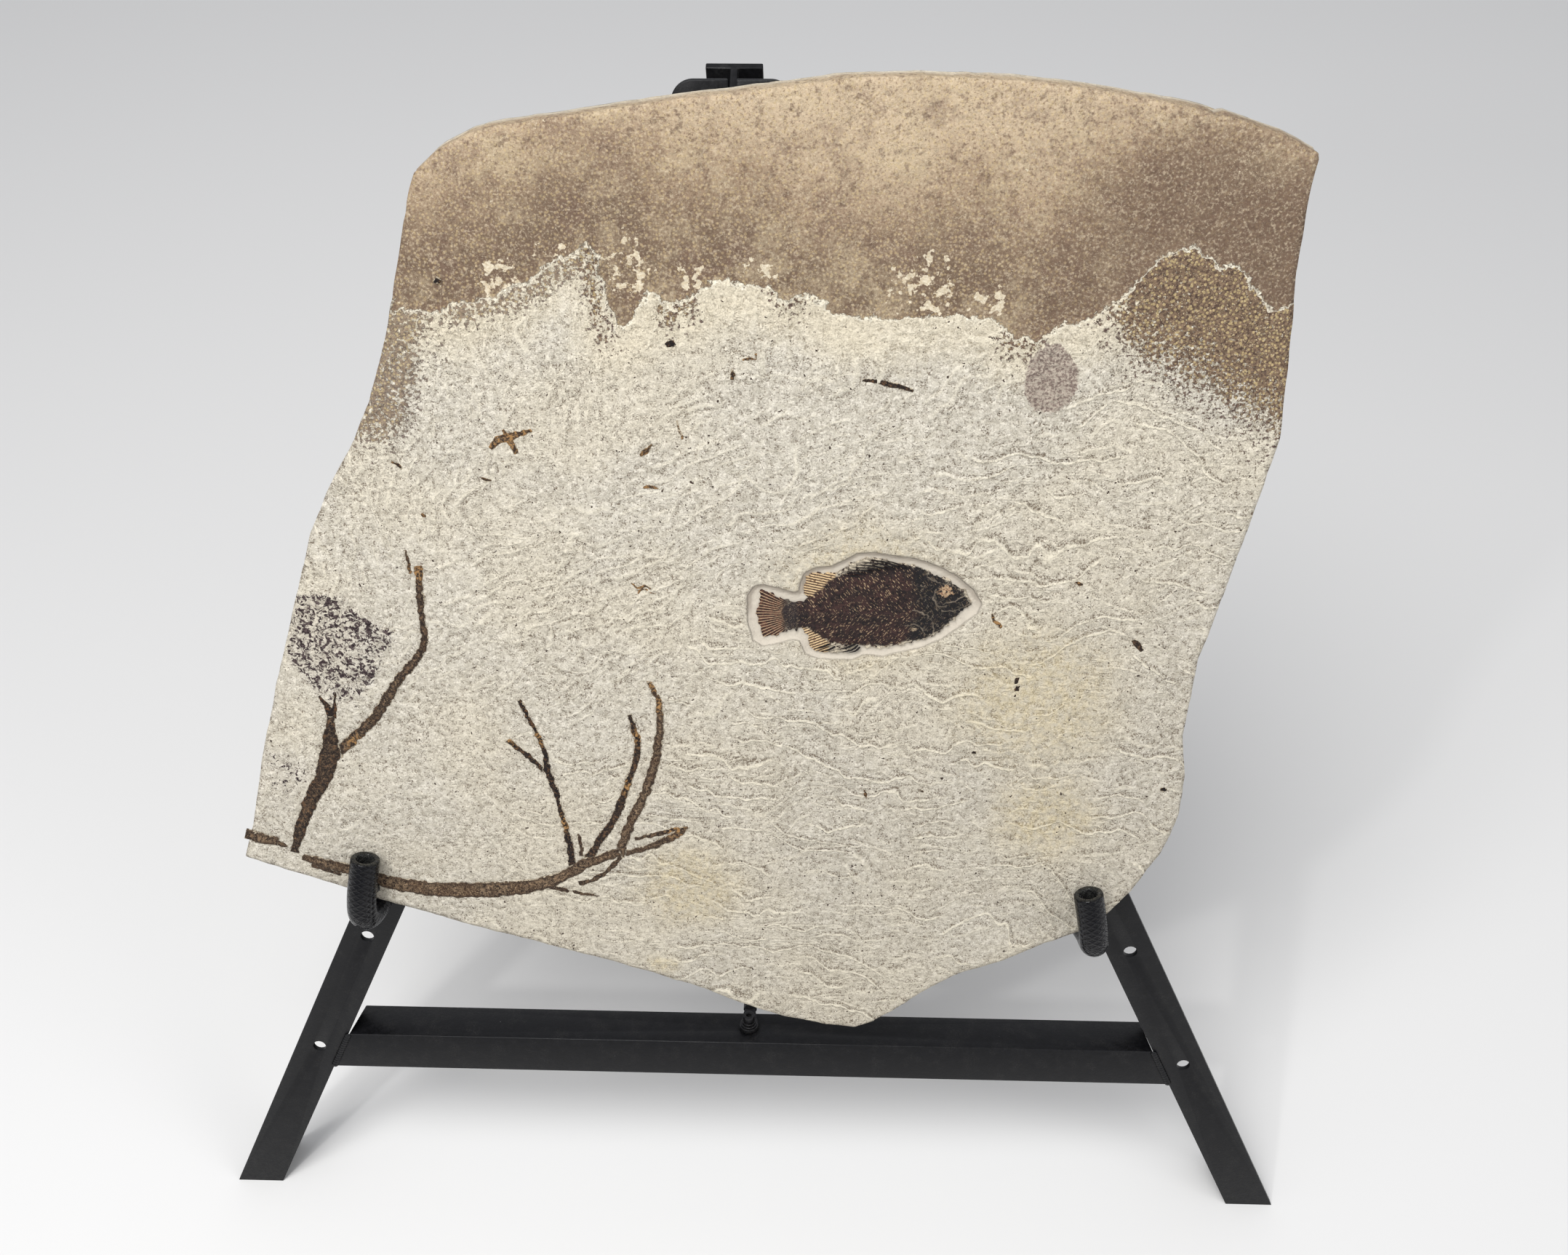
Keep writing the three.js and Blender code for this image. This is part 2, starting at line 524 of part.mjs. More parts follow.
hookNut.position.set(LEFT_HOOK_HOLE[0], STEEL + GAP, LEFT_HOOK_HOLE[1]);

// ---- origin: middle of the footprint, on the floor ----
assembly.updateMatrixWorld(true);
const footprint = new THREE.Box3().setFromObject(assembly, true);
assembly.position.y = -(footprint.min.y + footprint.max.y) / 2;

export default assembly;
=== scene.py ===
"""Looks of a limestone slab with a fossil fish and twigs on a steel display easel."""
import functools
import math

import bmesh
import bpy
import numpy as np
from mathutils import Matrix, Vector

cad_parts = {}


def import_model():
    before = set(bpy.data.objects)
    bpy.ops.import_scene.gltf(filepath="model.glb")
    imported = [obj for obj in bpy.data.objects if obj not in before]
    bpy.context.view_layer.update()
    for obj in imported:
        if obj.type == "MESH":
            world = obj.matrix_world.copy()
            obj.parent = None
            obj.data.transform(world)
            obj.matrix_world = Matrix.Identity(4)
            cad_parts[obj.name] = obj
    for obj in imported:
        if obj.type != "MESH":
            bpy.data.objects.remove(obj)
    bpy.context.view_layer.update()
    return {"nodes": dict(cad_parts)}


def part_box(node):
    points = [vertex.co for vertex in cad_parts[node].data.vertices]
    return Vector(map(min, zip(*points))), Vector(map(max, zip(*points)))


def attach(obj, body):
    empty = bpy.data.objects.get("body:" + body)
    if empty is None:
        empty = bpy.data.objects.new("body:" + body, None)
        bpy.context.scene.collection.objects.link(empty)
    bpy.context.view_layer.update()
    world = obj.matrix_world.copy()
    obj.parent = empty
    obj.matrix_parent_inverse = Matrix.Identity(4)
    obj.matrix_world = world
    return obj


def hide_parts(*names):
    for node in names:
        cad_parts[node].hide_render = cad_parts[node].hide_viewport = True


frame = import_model()

# ---- Front legs ----
# Two lengths of rolled angle iron in satin black paint, leaning to the middle from flat
# feet. Each shows one face, with its heel along the inner edge and two spare holes.
LEAN = math.radians(15)
PLANE_FOOT_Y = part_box("left_leg")[0].y  # where the easel plane meets the floor
ROLLED_EDGE = 0.0005  # m, radius of the edges of rolled bar
ROUNDED_FROM = math.radians(40)  # sharper edges than this get a round
SMOOTH_TO = math.radians(38)
WELD_GAP = 2e-6  # m, vertices closer than this are one


def paint(red, green, blue):
    """A colour for a shader, from its 0 to 255 screen values."""
    linear = [c / 255 / 12.92 if c <= 10 else ((c / 255 + 0.055) / 1.055) ** 2.4
              for c in (red, green, blue)]
    return (*linear, 1)


def connect(made, inputs):
    """Puts values or other nodes' sockets into a node's inputs."""
    for key, value in dict(inputs).items():
        if isinstance(value, bpy.types.NodeSocket):
            made.id_data.links.new(value, made.inputs[key])
        else:
            made.inputs[key].default_value = value


def node(tree, kind, inputs=(), **settings):
    made = tree.nodes.new("ShaderNode" + kind)
    for key, value in settings.items():
        setattr(made, key, value)
    connect(made, inputs)
    return made


def sums(operation, *values):
    """A Math node, in the tree that its first socket belongs to."""
    tree = next(value for value in values if isinstance(value, bpy.types.NodeSocket)).id_data
    return node(tree, "Math", dict(enumerate(values)), operation=operation).outputs[0]


plus, minus, times, divide, most, size_of, fraction, mad = (  # mad(a, b, c) is a * b + c
    functools.partial(sums, operation) for operation in (
        "ADD", "SUBTRACT", "MULTIPLY", "DIVIDE", "MAXIMUM", "ABSOLUTE", "FRACT", "MULTIPLY_ADD"))


def between(value, low, high, out_low=0, out_high=1):
    """value from low..high, smoothly mapped to out_low..out_high."""
    return node(value.id_data, "MapRange", dict(enumerate((value, low, high, out_low, out_high))),
                interpolation_type="SMOOTHSTEP").outputs[0]


def blend(share, under, over):
    """over laid on under where share is 1, each a socket or a colour of 0 to 255."""
    under, over = (paint(*c) if isinstance(c, tuple) else c for c in (under, over))
    return node(share.id_data, "Mix", {0: share, 6: under, 7: over}, data_type="RGBA").outputs[2]


def tones(value, low, high, under, over):
    """under turning to over as value goes from low to high."""
    return blend(between(value, low, high), under, over)


def coats(colour, *layers):
    """Layers on a colour: (share, colour), or (value, low, high, most share, colour)."""
    for *mask, over in layers:
        share = mask[0] if len(mask) == 1 else between(*mask[:3], 0, mask[3])
        colour = blend(share, colour, over)
    return colour


def noise(where, size, detail=2, roughness=0.5, **more):
    return node(where.id_data, "TexNoise", {
        "Vector": where, "Scale": 1 / size, "Detail": detail, "Roughness": roughness,
        **more}).outputs["Fac"]


def new_group(name, inputs, outputs):
    """A shader node group with named sockets, and its inner ends."""
    tree = bpy.data.node_groups.new(name, "ShaderNodeTree")
    for kind, sockets in (("INPUT", inputs), ("OUTPUT", outputs)):
        for label, socket in sockets.items():
            tree.interface.new_socket(label, in_out=kind, socket_type="NodeSocket" + socket)
    return tree, tree.nodes.new("NodeGroupInput").outputs, tree.nodes.new("NodeGroupOutput")


def in_group(group, **inputs):
    """A group's outputs at a place."""
    return node(inputs["Place"].id_data, "Group", inputs, node_tree=group).outputs


def new_material(name):
    """An empty material, its tree and shader, and mm right, back and up in the easel's plane."""
    material = bpy.data.materials.new(name)
    material.use_nodes = True
    tree = material.node_tree
    tree.nodes.clear()
    shader = node(tree, "BsdfPrincipled")
    node(tree, "OutputMaterial", {0: shader.outputs[0]})
    coords = node(tree, "TexCoord").outputs["Object"]
    foot = -1000 * PLANE_FOOT_Y
    turned = node(tree, "Mapping", {
        "Vector": coords, "Scale": (1000, 1000, 1000), "Rotation": (LEAN, 0, 0),
        "Location": (0, foot * math.cos(LEAN), foot * math.sin(LEAN))})
    return material, tree, shader, turned.outputs[0]


def give_surface(shader, colour, roughness, height, specular=0.5, metallic=0):
    """A shader's colour and finish, with bump from a height in mm."""
    bump = node(shader.id_data, "Bump", {"Height": height, "Distance": 0.001})
    connect(shader, {"Base Color": colour, "Roughness": roughness, "Metallic": metallic,
                     "Specular IOR Level": specular, "Normal": bump.outputs[0]})


# Grain: a fine unevenness of the given size from 0 to 1, and a coarse one three times that.
grain_group, start, end = new_group(
    "grain", {"Place": "Vector", "Size": "Float"}, {"Fine": "Float", "Coarse": "Float"})
for label, factor, detail in (("Fine", 1, 4), ("Coarse", 3, 3)):
    texture = node(grain_group, "TexNoise", {
        "Vector": start["Place"], "Scale": divide(1 / factor, start["Size"]), "Detail": detail,
        "Roughness": 0.65})
    connect(end, {label: texture.outputs["Fac"]})

# Dust: a thin pale film that gathers in patches.
dust_group, start, end = new_group(
    "dust", {"Colour": "Color", "Place": "Vector", "Amount": "Float"}, {"Colour": "Color"})
film = times(between(noise(start["Place"], 9, 4, 0.6), 0.45, 0.7),
             between(noise(start["Place"], 0.9, 3, 0.6), 0.4, 0.65))
connect(end, {"Colour": blend(times(film, start["Amount"]), start["Colour"], (150, 146, 140))})

easel_paint, tree, shader, mm = new_material("easel_paint")
fine, coarse = in_group(grain_group, Place=mm, Size=0.8)
coat = coats(tones(coarse, 0.35, 0.65, (9, 9, 11), (14, 14, 17)),
             (noise(mm, 1.6, 3, 0.6), 0.76, 0.78, 1, (150, 148, 146)))
give_surface(shader, in_group(dust_group, Colour=coat, Place=mm, Amount=0.035)["Colour"],
             between(coarse, 0.3, 0.7, 0.36, 0.5), mad(fine, 0.06, times(coarse, 0.12)), 0.25)


def pick(*pieces):
    """Leaves only these selected, the first of them active."""
    bpy.ops.object.select_all(action="DESELECT")
    for piece in pieces:
        piece.select_set(True)
    bpy.context.view_layer.objects.active = pieces[0]


def record(piece, material, replaced=None):
    """Gives a piece its material, hangs it on the root body and hides the CAD part it replaces."""
    piece.data.materials.append(material)
    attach(piece, "root")
    if replaced:
        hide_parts(replaced)


def close_up(flat_faces=False):
    """Welds the active mesh's doubled vertices and turns its faces outward."""
    bpy.ops.object.mode_set(mode="EDIT")
    bpy.ops.mesh.select_all(action="SELECT")
    bpy.ops.mesh.remove_doubles(threshold=WELD_GAP)
    if flat_faces:
        bpy.ops.mesh.dissolve_limited(angle_limit=math.radians(1))
    bpy.ops.mesh.normals_make_consistent(inside=False)
    bpy.ops.object.mode_set(mode="OBJECT")


def soften(name, width, material):
    """A CAD piece, welded, with small rounds along its edges and a material."""
    piece = bpy.data.objects.new("finished_" + name, frame["nodes"][name].data.copy())
    bpy.context.scene.collection.objects.link(piece)
    pick(piece)
    close_up(flat_faces=True)
    rounds = piece.modifiers.new("rounds", "BEVEL")
    rounds.width, rounds.segments = width, 2
    rounds.limit_method, rounds.angle_limit = "ANGLE", ROUNDED_FROM
    bpy.ops.object.modifier_apply(modifier="rounds")
    bpy.ops.object.shade_smooth_by_angle(angle=SMOOTH_TO)
    piece.data.materials.clear()
    record(piece, material, name)


soften("left_leg", ROLLED_EDGE, easel_paint)
soften("right_leg", ROLLED_EDGE, easel_paint)

# ---- Crossbar ----
# Angle iron between the legs, heel up and its flange running back, with a weld bead of
# overlapping ripples where each end meets a leg's face.
soften("crossbar", ROLLED_EDGE, easel_paint)
CROSSBAR_WELD = ((236.6, 0.1, 122), (247.2, 0.1, 99))  # u, n, v in mm from end to end
WELD_PITCH = 1.7
WELD_RADIUS = 1.9
BEAD_FLATNESS = 0.55


def on_easel(u, v, n):
    """Metres in the row's frame from mm to the right, up the legs and out of their faces."""
    y = v * math.sin(LEAN) - n * math.cos(LEAN)
    z = v * math.cos(LEAN) + n * math.sin(LEAN)
    return np.stack([u + 0 * y, y, z + 0 * u], -1) / 1000 + np.array([0, PLANE_FOOT_Y, 0])


def joined(name, pieces):
    """The pieces as one mesh."""
    pick(*pieces)
    bpy.ops.object.join()
    pieces[0].name = pieces[0].data.name = name
    return pieces[0]


def weld(name, start, end, radius, material, slot):
    """A bead of flattened, overlapping drops from start to end."""
    start, end = np.array(start, float), np.array(end, float)
    count = int(np.linalg.norm(end - start) / WELD_PITCH) + 1
    drops = []
    for step in range(count):
        u, n, v = start + (end - start) * step / (count - 1)
        bpy.ops.object.select_all(action="DESELECT")
        bpy.ops.mesh.primitive_uv_sphere_add(
            segments=12, ring_count=6, radius=radius / 1000, location=on_easel(u, v, n))
        bpy.ops.transform.resize(value=(1, BEAD_FLATNESS, 1))
        drops.append(bpy.context.object)
    bead = joined(name, drops)
    bpy.ops.object.transform_apply(location=True, rotation=True, scale=True)
    bpy.ops.object.shade_smooth()
    record(bead, material)


for name, side in (("left_weld", -1), ("right_weld", 1)):
    weld(name, *((side * u, n, v) for u, n, v in CROSSBAR_WELD), WELD_RADIUS, easel_paint,
         "easel_paint")

# ---- Apex plate ----
# A small steel plate with rounded top corners, in the same black paint. It joins the legs'
# tops from behind and is slotted for the rear leg.
soften("apex_plate", ROLLED_EDGE, easel_paint)

# ---- Rear leg ----
# A length of rolled T bar in the same paint, its web to the front. Its top sits in the apex
# plate's slot and its foot stands on the floor behind.
soften("rear_leg", ROLLED_EDGE, easel_paint)

# ---- Tie rod ----
# A bent rod that holds the rear leg out. Each end is flattened to an eye, screwed down with
# a socket cap screw, a nut and, in front, a washer and a spring washer.
FINE_EDGE = 0.00018  # m, edges of screws, washers and nuts
dark_steel, tree, shader, mm = new_material("dark_steel")
fine, coarse = in_group(grain_group, Place=mm, Size=0.5)
steel = coats(tones(coarse, 0.35, 0.65, (40, 40, 43), (60, 59, 60)),
              (fine, 0.6, 0.75, 0.5, (104, 88, 74)))
give_surface(shader, in_group(dust_group, Colour=steel, Place=mm, Amount=0.1)["Colour"],
             between(fine, 0.3, 0.7, 0.3, 0.5), times(fine, 0.04), metallic=0.85)
for name in ("tie_rod", "tie_washer", "tie_spring_washer", "tie_screw", "tie_nut",
             "rear_screw", "rear_nut"):
    soften(name, FINE_EDGE, dark_steel)

# ---- Hooks ----
# Round bars bent up in front of the slab's lower edge. The left one ends in a thread with a
# nut behind the leg's face, the right one is welded beside the leg's side flange.
HOOK_RADIUS = 4
HOOK_CHAMFER = 0.8
HOOK_STATIONS = {  # u, n, v from the rear end to the hose's mouth
    "left": [(-204.5, -15, 227.8), (-204.5, -8, 227.8), (-204.6, 0, 227.8), (-205.4, 10, 227.8),
             (-206.8, 19.5, 229.4), (-207.5, 25.4, 235.6), (-206.6, 26.8, 246),
             (-202.4, 23.6, 271)],
    "right": [(188.7, -20, 215.9), (188.7, -8, 215.9), (188.9, 0, 216), (190.6, 8, 216.8),
              (191.4, 16.5, 218.4), (190.6, 23.6, 224.5), (188.8, 26, 236), (184.8, 24, 257)],
}
MOUTH_TO_ROD = 4.6  # mm from the hose's mouth down to the bar's tip
THREAD_LENGTH = 14
THREAD_PITCH = 1.25
THREAD_DEPTH = 0.4


def smooth_path(stations):
    """Points close together along a smooth curve through the stations, and mm run."""
    points = np.array(stations, float)
    points = np.vstack([2 * points[0] - points[1], points, 2 * points[-1] - points[-2]])
    curve = []
    for a, b, c, d in zip(points, points[1:], points[2:], points[3:]):
        t1 = math.sqrt(np.linalg.norm(b - a))
        t2 = t1 + math.sqrt(np.linalg.norm(c - b))
        t3 = t2 + math.sqrt(np.linalg.norm(d - c))
        t = np.linspace(t1, t2, 16, endpoint=False)[:, None]
        ab = (t1 - t) / t1 * a + t / t1 * b
        bc = (t2 - t) / (t2 - t1) * b + (t - t1) / (t2 - t1) * c
        cd = (t3 - t) / (t3 - t2) * c + (t - t2) / (t3 - t2) * d
        abc = (t2 - t) / t2 * ab + t / t2 * bc
        bcd = (t3 - t) / (t3 - t1) * bc + (t - t1) / (t3 - t1) * cd
        curve.append((t2 - t) / (t2 - t1) * abc + (t - t1) / (t2 - t1) * bcd)
    curve = np.vstack([*curve, points[-2]])
    run = np.concatenate([[0], np.cumsum(np.linalg.norm(np.diff(curve, axis=0), axis=1))])
    return curve, run


def along_path(path, run, along):
    """The points so many mm along a path."""
    return np.stack([np.interp(along, run, path[:, axis]) for axis in range(3)], -1)


def add_attributes(mesh, **fields):
    """A value at each vertex for the material to read."""
    for name, values in fields.items():
        made = mesh.attributes.new(name, "FLOAT", "POINT")
        made.data.foreach_set("value", np.asarray(values, np.float32))


def new_grid(name, columns, rows, **settings):
    """A flat grid of columns by rows of faces."""
    bpy.ops.object.select_all(action="DESELECT")
    bpy.ops.mesh.primitive_grid_add(
        x_subdivisions=columns, y_subdivisions=rows, size=1, **settings)
    piece = bpy.context.object
    piece.name = piece.data.name = name
    return piece


def set_points(mesh, points):
    mesh.vertices.foreach_set("co", points.astype(np.float32).ravel())
    mesh.update()


def sweep(name, path, run, rings, sides):
    """A round skin along a path, through rings given as (mm along, radius)."""
    piece = new_grid(name, sides, len(rings) - 1, calc_uvs=True)
    turns = np.linspace(0, 2 * math.pi, sides + 1)[:, None]
    points = []
    for along, radius in rings:
        ahead = along_path(path, run, along + 0.5) - along_path(path, run, along - 0.5)
        tangent = ahead / np.linalg.norm(ahead)
        across = np.array([1, 0, 0]) - tangent[0] * tangent
        across /= np.linalg.norm(across)
        over = np.cross(tangent, across)
        ring = radius * (np.cos(turns) * across + np.sin(turns) * over)
        points.append(along_path(path, run, along) + ring)
    u, n, v = np.vstack(points).T
    set_points(piece.data, on_easel(u, v, n))
    add_attributes(piece.data, along=np.repeat([along for along, _ in rings], sides + 1))
    close_up()
    bpy.ops.object.shade_smooth()
    return piece


for side, stations in HOOK_STATIONS.items():
    path, run = smooth_path(stations)
    tip = run[-1] - MOUTH_TO_ROD
    rings = [(0, 0), (0, HOOK_RADIUS - HOOK_CHAMFER), (0.7, HOOK_RADIUS)]
    if side == "left":
        for crest in np.arange(1, THREAD_LENGTH, THREAD_PITCH):
            rings += [(crest, HOOK_RADIUS), (crest + THREAD_PITCH / 2, HOOK_RADIUS - THREAD_DEPTH)]
    rings += [(along, HOOK_RADIUS) for along in np.arange(THREAD_LENGTH + 1, tip - 1, 2)]
    rings += [(tip - HOOK_CHAMFER, HOOK_RADIUS), (tip, HOOK_RADIUS - HOOK_CHAMFER), (tip, 0)]
    record(sweep(side + "_hook_bar", path, run, rings, 24), dark_steel,
           side + "_hook")
soften("left_hook_nut", 0.0005, dark_steel)
weld("right_hook_weld", (192.4, -5, 216.2), (192.4, -19, 216.2), 1.7, dark_steel, "dark_steel")

# ---- Hook hoses ----
# Short sleeves of glossy black hose over the hooks. A braid lies under the clear outer skin,
# which turns milky where it is stretched round the bend, and the mouth shows a pale bore.
# The milky edges are a painted sheen, pale where the hose is seen edge-on.
HOSE_RADIUS = 7.95
HOSE_BORE = 4.85
HOSE_START = 15.4  # mm along the hook, at the leg's face
BRAID_PITCH = 3.4
BRAID_STRANDS = 9


def attribute(tree, name):
    return node(tree, "Attribute", attribute_name=name).outputs["Fac"]


hose_rubber, tree, shader, mm = new_material("hose_rubber")
fine, coarse = in_group(grain_group, Place=mm, Size=0.6)
turn = node(tree, "SeparateXYZ", {0: node(tree, "UVMap").outputs[0]}).outputs["X"]
lay = divide(attribute(tree, "along"), BRAID_PITCH)
strands = (fraction(mad(turn, way * BRAID_STRANDS, lay)) for way in (1, -1))
braid = most(*(between(size_of(minus(strand, 0.5)), 0.24, 0.1) for strand in strands))
rim_light = node(tree, "LayerWeight", {"Blend": 0.35}).outputs["Facing"]
# Painted sheen: pale where the hose is seen edge-on, strongest round the bend.
milky_rim_sheen = times(between(rim_light, 0.5, 1), mad(attribute(tree, "bend"), 0.22, 0.01))
rubber = coats(
    tones(coarse, 0.35, 0.65, (5, 5, 8), (11, 11, 15)),
    (times(braid, 0.2), (14, 14, 20)),
    (milky_rim_sheen, (170, 170, 178)),
    (attribute(tree, "cut_end"), tones(coarse, 0.35, 0.6, (22, 22, 23), (44, 44, 42))))
give_surface(shader, rubber, between(fine, 0.3, 0.7, 0.1, 0.2),
             mad(braid, 0.8, times(coarse, 0.1)), 0.22)


def flat_points(mesh):
    """The mesh's vertices as columns."""
    co = np.empty(len(mesh.vertices) * 3, np.float32)
    mesh.vertices.foreach_get("co", co)
    return co.reshape(-1, 3).astype(float).T


for side, stations in HOOK_STATIONS.items():
    path, run = smooth_path(stations)
    mouth = run[-1]
    outer = [(along, HOSE_RADIUS) for along in np.arange(HOSE_START + 0.6, mouth - 1, 0.8)]
    rings = [(HOSE_START, HOSE_BORE), (HOSE_START, HOSE_RADIUS - 0.4), *outer,
             (mouth - 0.5, HOSE_RADIUS - 0.15), (mouth, HOSE_RADIUS - 0.7),
             (mouth, HOSE_BORE + 0.5), (mouth - 0.5, HOSE_BORE), (mouth - 12, HOSE_BORE),
             (HOSE_START, HOSE_BORE)]
    sleeve = sweep(side + "_braided_hose", path, run, rings, 40)
    along = np.empty(len(sleeve.data.vertices), np.float32)
    sleeve.data.attributes["along"].data.foreach_get("value", along)
    u, n, v = along_path(path, run, along).T
    skin = np.linalg.norm(flat_points(sleeve.data).T - on_easel(u, v, n), axis=1) * 1000
    add_attributes(sleeve.data, cut_end=(skin < HOSE_RADIUS - 0.45) & (along > mouth - 20),
                   bend=np.exp(-((along - HOSE_START - 14) / 11) ** 2))
    record(sleeve, hose_rubber, side + "_hose")

# ---- Slab of limestone ----
# A split sheet of pale lake limestone, 14 mm thick, its rim broken to shape and dressed.
# Its face is bedding plane: thin cream wrinkles on a speckled ground, with a lower, smooth
# brown bed left along the top and a ground channel around the fish.
SLAB_FACE = 14.3  # mm in front of the leg faces
SLAB_BACK = 0.3
BED_FLOOR = 12.8  # mm out, the brown bed
CHANNEL_FLOOR = 12.1  # the ground channel
TWIG_TOP = 14.65
SLAB_GRID = 1.85  # mm between face vertices
FISH_GRID = 1.3  # closer around the fish
FISH_WINDOW = (-4, 124, 390, 458)


def face_loops(node, depth):
    """Outlines (u, v) of a node's flat faces at one depth, longest first."""
    mesh = frame["nodes"][node].data
    u, y, z = (flat_points(mesh) - [[0], [PLANE_FOOT_Y], [0]]) * 1000
    v, n = y * math.sin(LEAN) + z * math.cos(LEAN), z * math.sin(LEAN) - y * math.cos(LEAN)
    keys = [(round(a, 2), round(b, 2)) if abs(c - depth) < 0.05 else None
            for a, b, c in zip(u, v, n)]
    sides = {}
    for face in mesh.polygons:
        corners = [keys[i] for i in face.vertices]
        if None in corners:
            continue
        for a, b in zip(corners, corners[1:] + corners[:1]):
            if (b, a) in sides:
                del sides[b, a]
            else:
                sides[a, b] = True
    after = {a: b for a, b in sides}
    loops = []
    while after:
        start, here = after.popitem()
        loop = [start]
        while here != start and here in after:
            loop.append(here)
            here = after.pop(here)
        loops.append(np.array(loop))
    return sorted(loops, key=len, reverse=True)


def inside(u, v, loop):
    """True where a point lies within a closed outline."""
    result = np.zeros(np.shape(u), bool)
    for (u0, v0), (u1, v1) in zip(loop, np.roll(loop, -1, 0)):
        if v0 != v1:
            crosses = (v0 > v) != (v1 > v)
            result ^= crosses & (u < (u1 - u0) * (v - v0) / (v1 - v0) + u0)
    return result


def nearest(u, v, line):
    """Distance to an open line of points, and the nearest place on it."""
    best = np.full(np.shape(u), 1e9)
    at_u, at_v = np.zeros_like(best), np.zeros_like(best)
    for (u0, v0), (u1, v1) in zip(line[:-1], line[1:]):
        du, dv = u1 - u0, v1 - v0
        t = np.clip(((u - u0) * du + (v - v0) * dv) / max(du * du + dv * dv, 1e-9), 0, 1)
        pu, pv = u0 + t * du, v0 + t * dv
        away = np.hypot(u - pu, v - pv)
        closer = away < best
        best = np.where(closer, away, best)
        at_u, at_v = np.where(closer, pu, at_u), np.where(closer, pv, at_v)
    return best, at_u, at_v


def depth_within(u, v, loop):
    """mm inside a closed outline, negative outside it."""
    away = nearest(u, v, np.vstack([loop, loop[:1]]))[0]
    return np.where(inside(u, v, loop), away, -away)


def lumps(u, v, size, seed, octaves=1):
    """Smooth unevenness from -1 to 1 with lumps of about size mm."""
    total, share = 0, 1
    for octave in range(octaves):
        grid = np.random.default_rng(seed + octave).uniform(-1, 1, (512, 512))
        x, y = u / size, v / size
        i, j = np.floor(x).astype(int), np.floor(y).astype(int)
        x, y = x - i, y - j
        x, y = x * x * x * (x * (x * 6 - 15) + 10), y * y * y * (y * (y * 6 - 15) + 10)
        i0, i1, j0, j1 = i % 512, (i + 1) % 512, j % 512, (j + 1) % 512
        low = grid[i0, j0] * (1 - x) + grid[i1, j0] * x
        high = grid[i0, j1] * (1 - x) + grid[i1, j1] * x
        total = total + share * (low * (1 - y) + high * y)
        share, size = share / 2, size / 2.1
    return total


def ramp(x, low, high):
    """0 below low, 1 above high, smooth between."""
    t = np.clip((x - low) / (high - low), 0, 1)
    return t * t * (3 - 2 * t)


def cut_grid(name, loop, us, vs):
    """A grid primitive with its rows and columns at us and vs, cut to an outline."""
    piece = new_grid(name, len(us) - 1, len(vs) - 1)
    uu, vv = np.meshgrid(us, vs)
    set_points(piece.data, np.stack([uu, vv, 0 * uu], -1))
    bm = bmesh.new()
    bm.from_mesh(piece.data)
    bm.faces.ensure_lookup_table()
    centres = np.array([face.calc_center_median()[:2] for face in bm.faces])
    keep = inside(centres[:, 0], centres[:, 1], loop)
    outside = [face for face, kept in zip(bm.faces, keep) if not kept]
    bmesh.ops.delete(bm, geom=outside, context="FACES")
    rim = [vert for vert in bm.verts if vert.is_boundary]
    ru, rv = np.array([vert.co.x for vert in rim]), np.array([vert.co.y for vert in rim])
    _, ru, rv = nearest(ru, rv, np.vstack([loop, loop[:1]]))
    for vert, u, v in zip(rim, ru, rv):
        vert.co.x, vert.co.y = u, v
    step = min(us[1] - us[0], vs[1] - vs[0])
    bmesh.ops.remove_doubles(bm, verts=rim, dist=0.3 * step)
    bm.to_mesh(piece.data)
    bm.free()
    return piece


def spread(low, high, step, window=None, fine=None):
    """Stations from low to high a step apart, closer together within a window."""
    stations = [low]
    while stations[-1] < high:
        near = window and window[0] <= stations[-1] < window[1]
        stations.append(stations[-1] + (fine if near else step))
    return np.array(stations)


# The rim is cut from the face grid, drawn back in rings to the rear, and closed by a coarser
# grid bridged to the last ring.
WALL_DROPS = (0.9, 1.8, 2.2, 2.4, 2.4, 2.2, 1.5, 0.6)
BACK_GRID = 9
BACK_INSET = 1.6
rim = face_loops("slab", SLAB_BACK)[0]
low_u, low_v = rim.min(0)
high_u, high_v = rim.max(0)
slab = cut_grid(
    "limestone_slab", rim,
    spread(low_u, high_u, SLAB_GRID, FISH_WINDOW[:2], FISH_GRID),
    spread(low_v, high_v, SLAB_GRID, FISH_WINDOW[2:], FISH_GRID),
)


def select_open_rim():
    bpy.ops.mesh.select_mode(type="EDGE")
    bpy.ops.mesh.select_all(action="DESELECT")
    bpy.ops.mesh.select_non_manifold(
        use_wire=False, use_boundary=True, use_multi_face=False,
        use_non_contiguous=False, use_verts=False)


def drop_walls(*drops):
    """Walls down from the active mesh's open rim, a ring of faces for each drop."""
    bpy.ops.object.mode_set(mode="EDIT")
    select_open_rim()
    for drop in drops:
        bpy.ops.mesh.extrude_edges_move(TRANSFORM_OT_translate={"value": (0, 0, -drop)})
    bpy.ops.object.mode_set(mode="OBJECT")


def place_smooth(mesh, points):
    """Puts a mesh's vertices at points and smooths its faces."""
    set_points(mesh, points)
    for face in mesh.polygons:
        face.use_smooth = True


drop_walls(*WALL_DROPS)
centre = rim.mean(0)
inner = rim + (centre - rim) * BACK_INSET / np.hypot(*(centre - rim).T)[:, None]
slab_back = cut_grid(
    "slab_back", inner, spread(low_u, high_u, BACK_GRID), spread(low_v, high_v, BACK_GRID))
slab_back.data.transform(Matrix.Translation((0, 0, -sum(WALL_DROPS))))
slab_back.data.flip_normals()
joined("limestone_slab", (slab, slab_back))
bpy.ops.object.mode_set(mode="EDIT")
select_open_rim()
bpy.ops.mesh.bridge_edge_loops()
bpy.ops.mesh.select_all(action="SELECT")
bpy.ops.mesh.normals_make_consistent(inside=False)
bpy.ops.object.mode_set(mode="OBJECT")

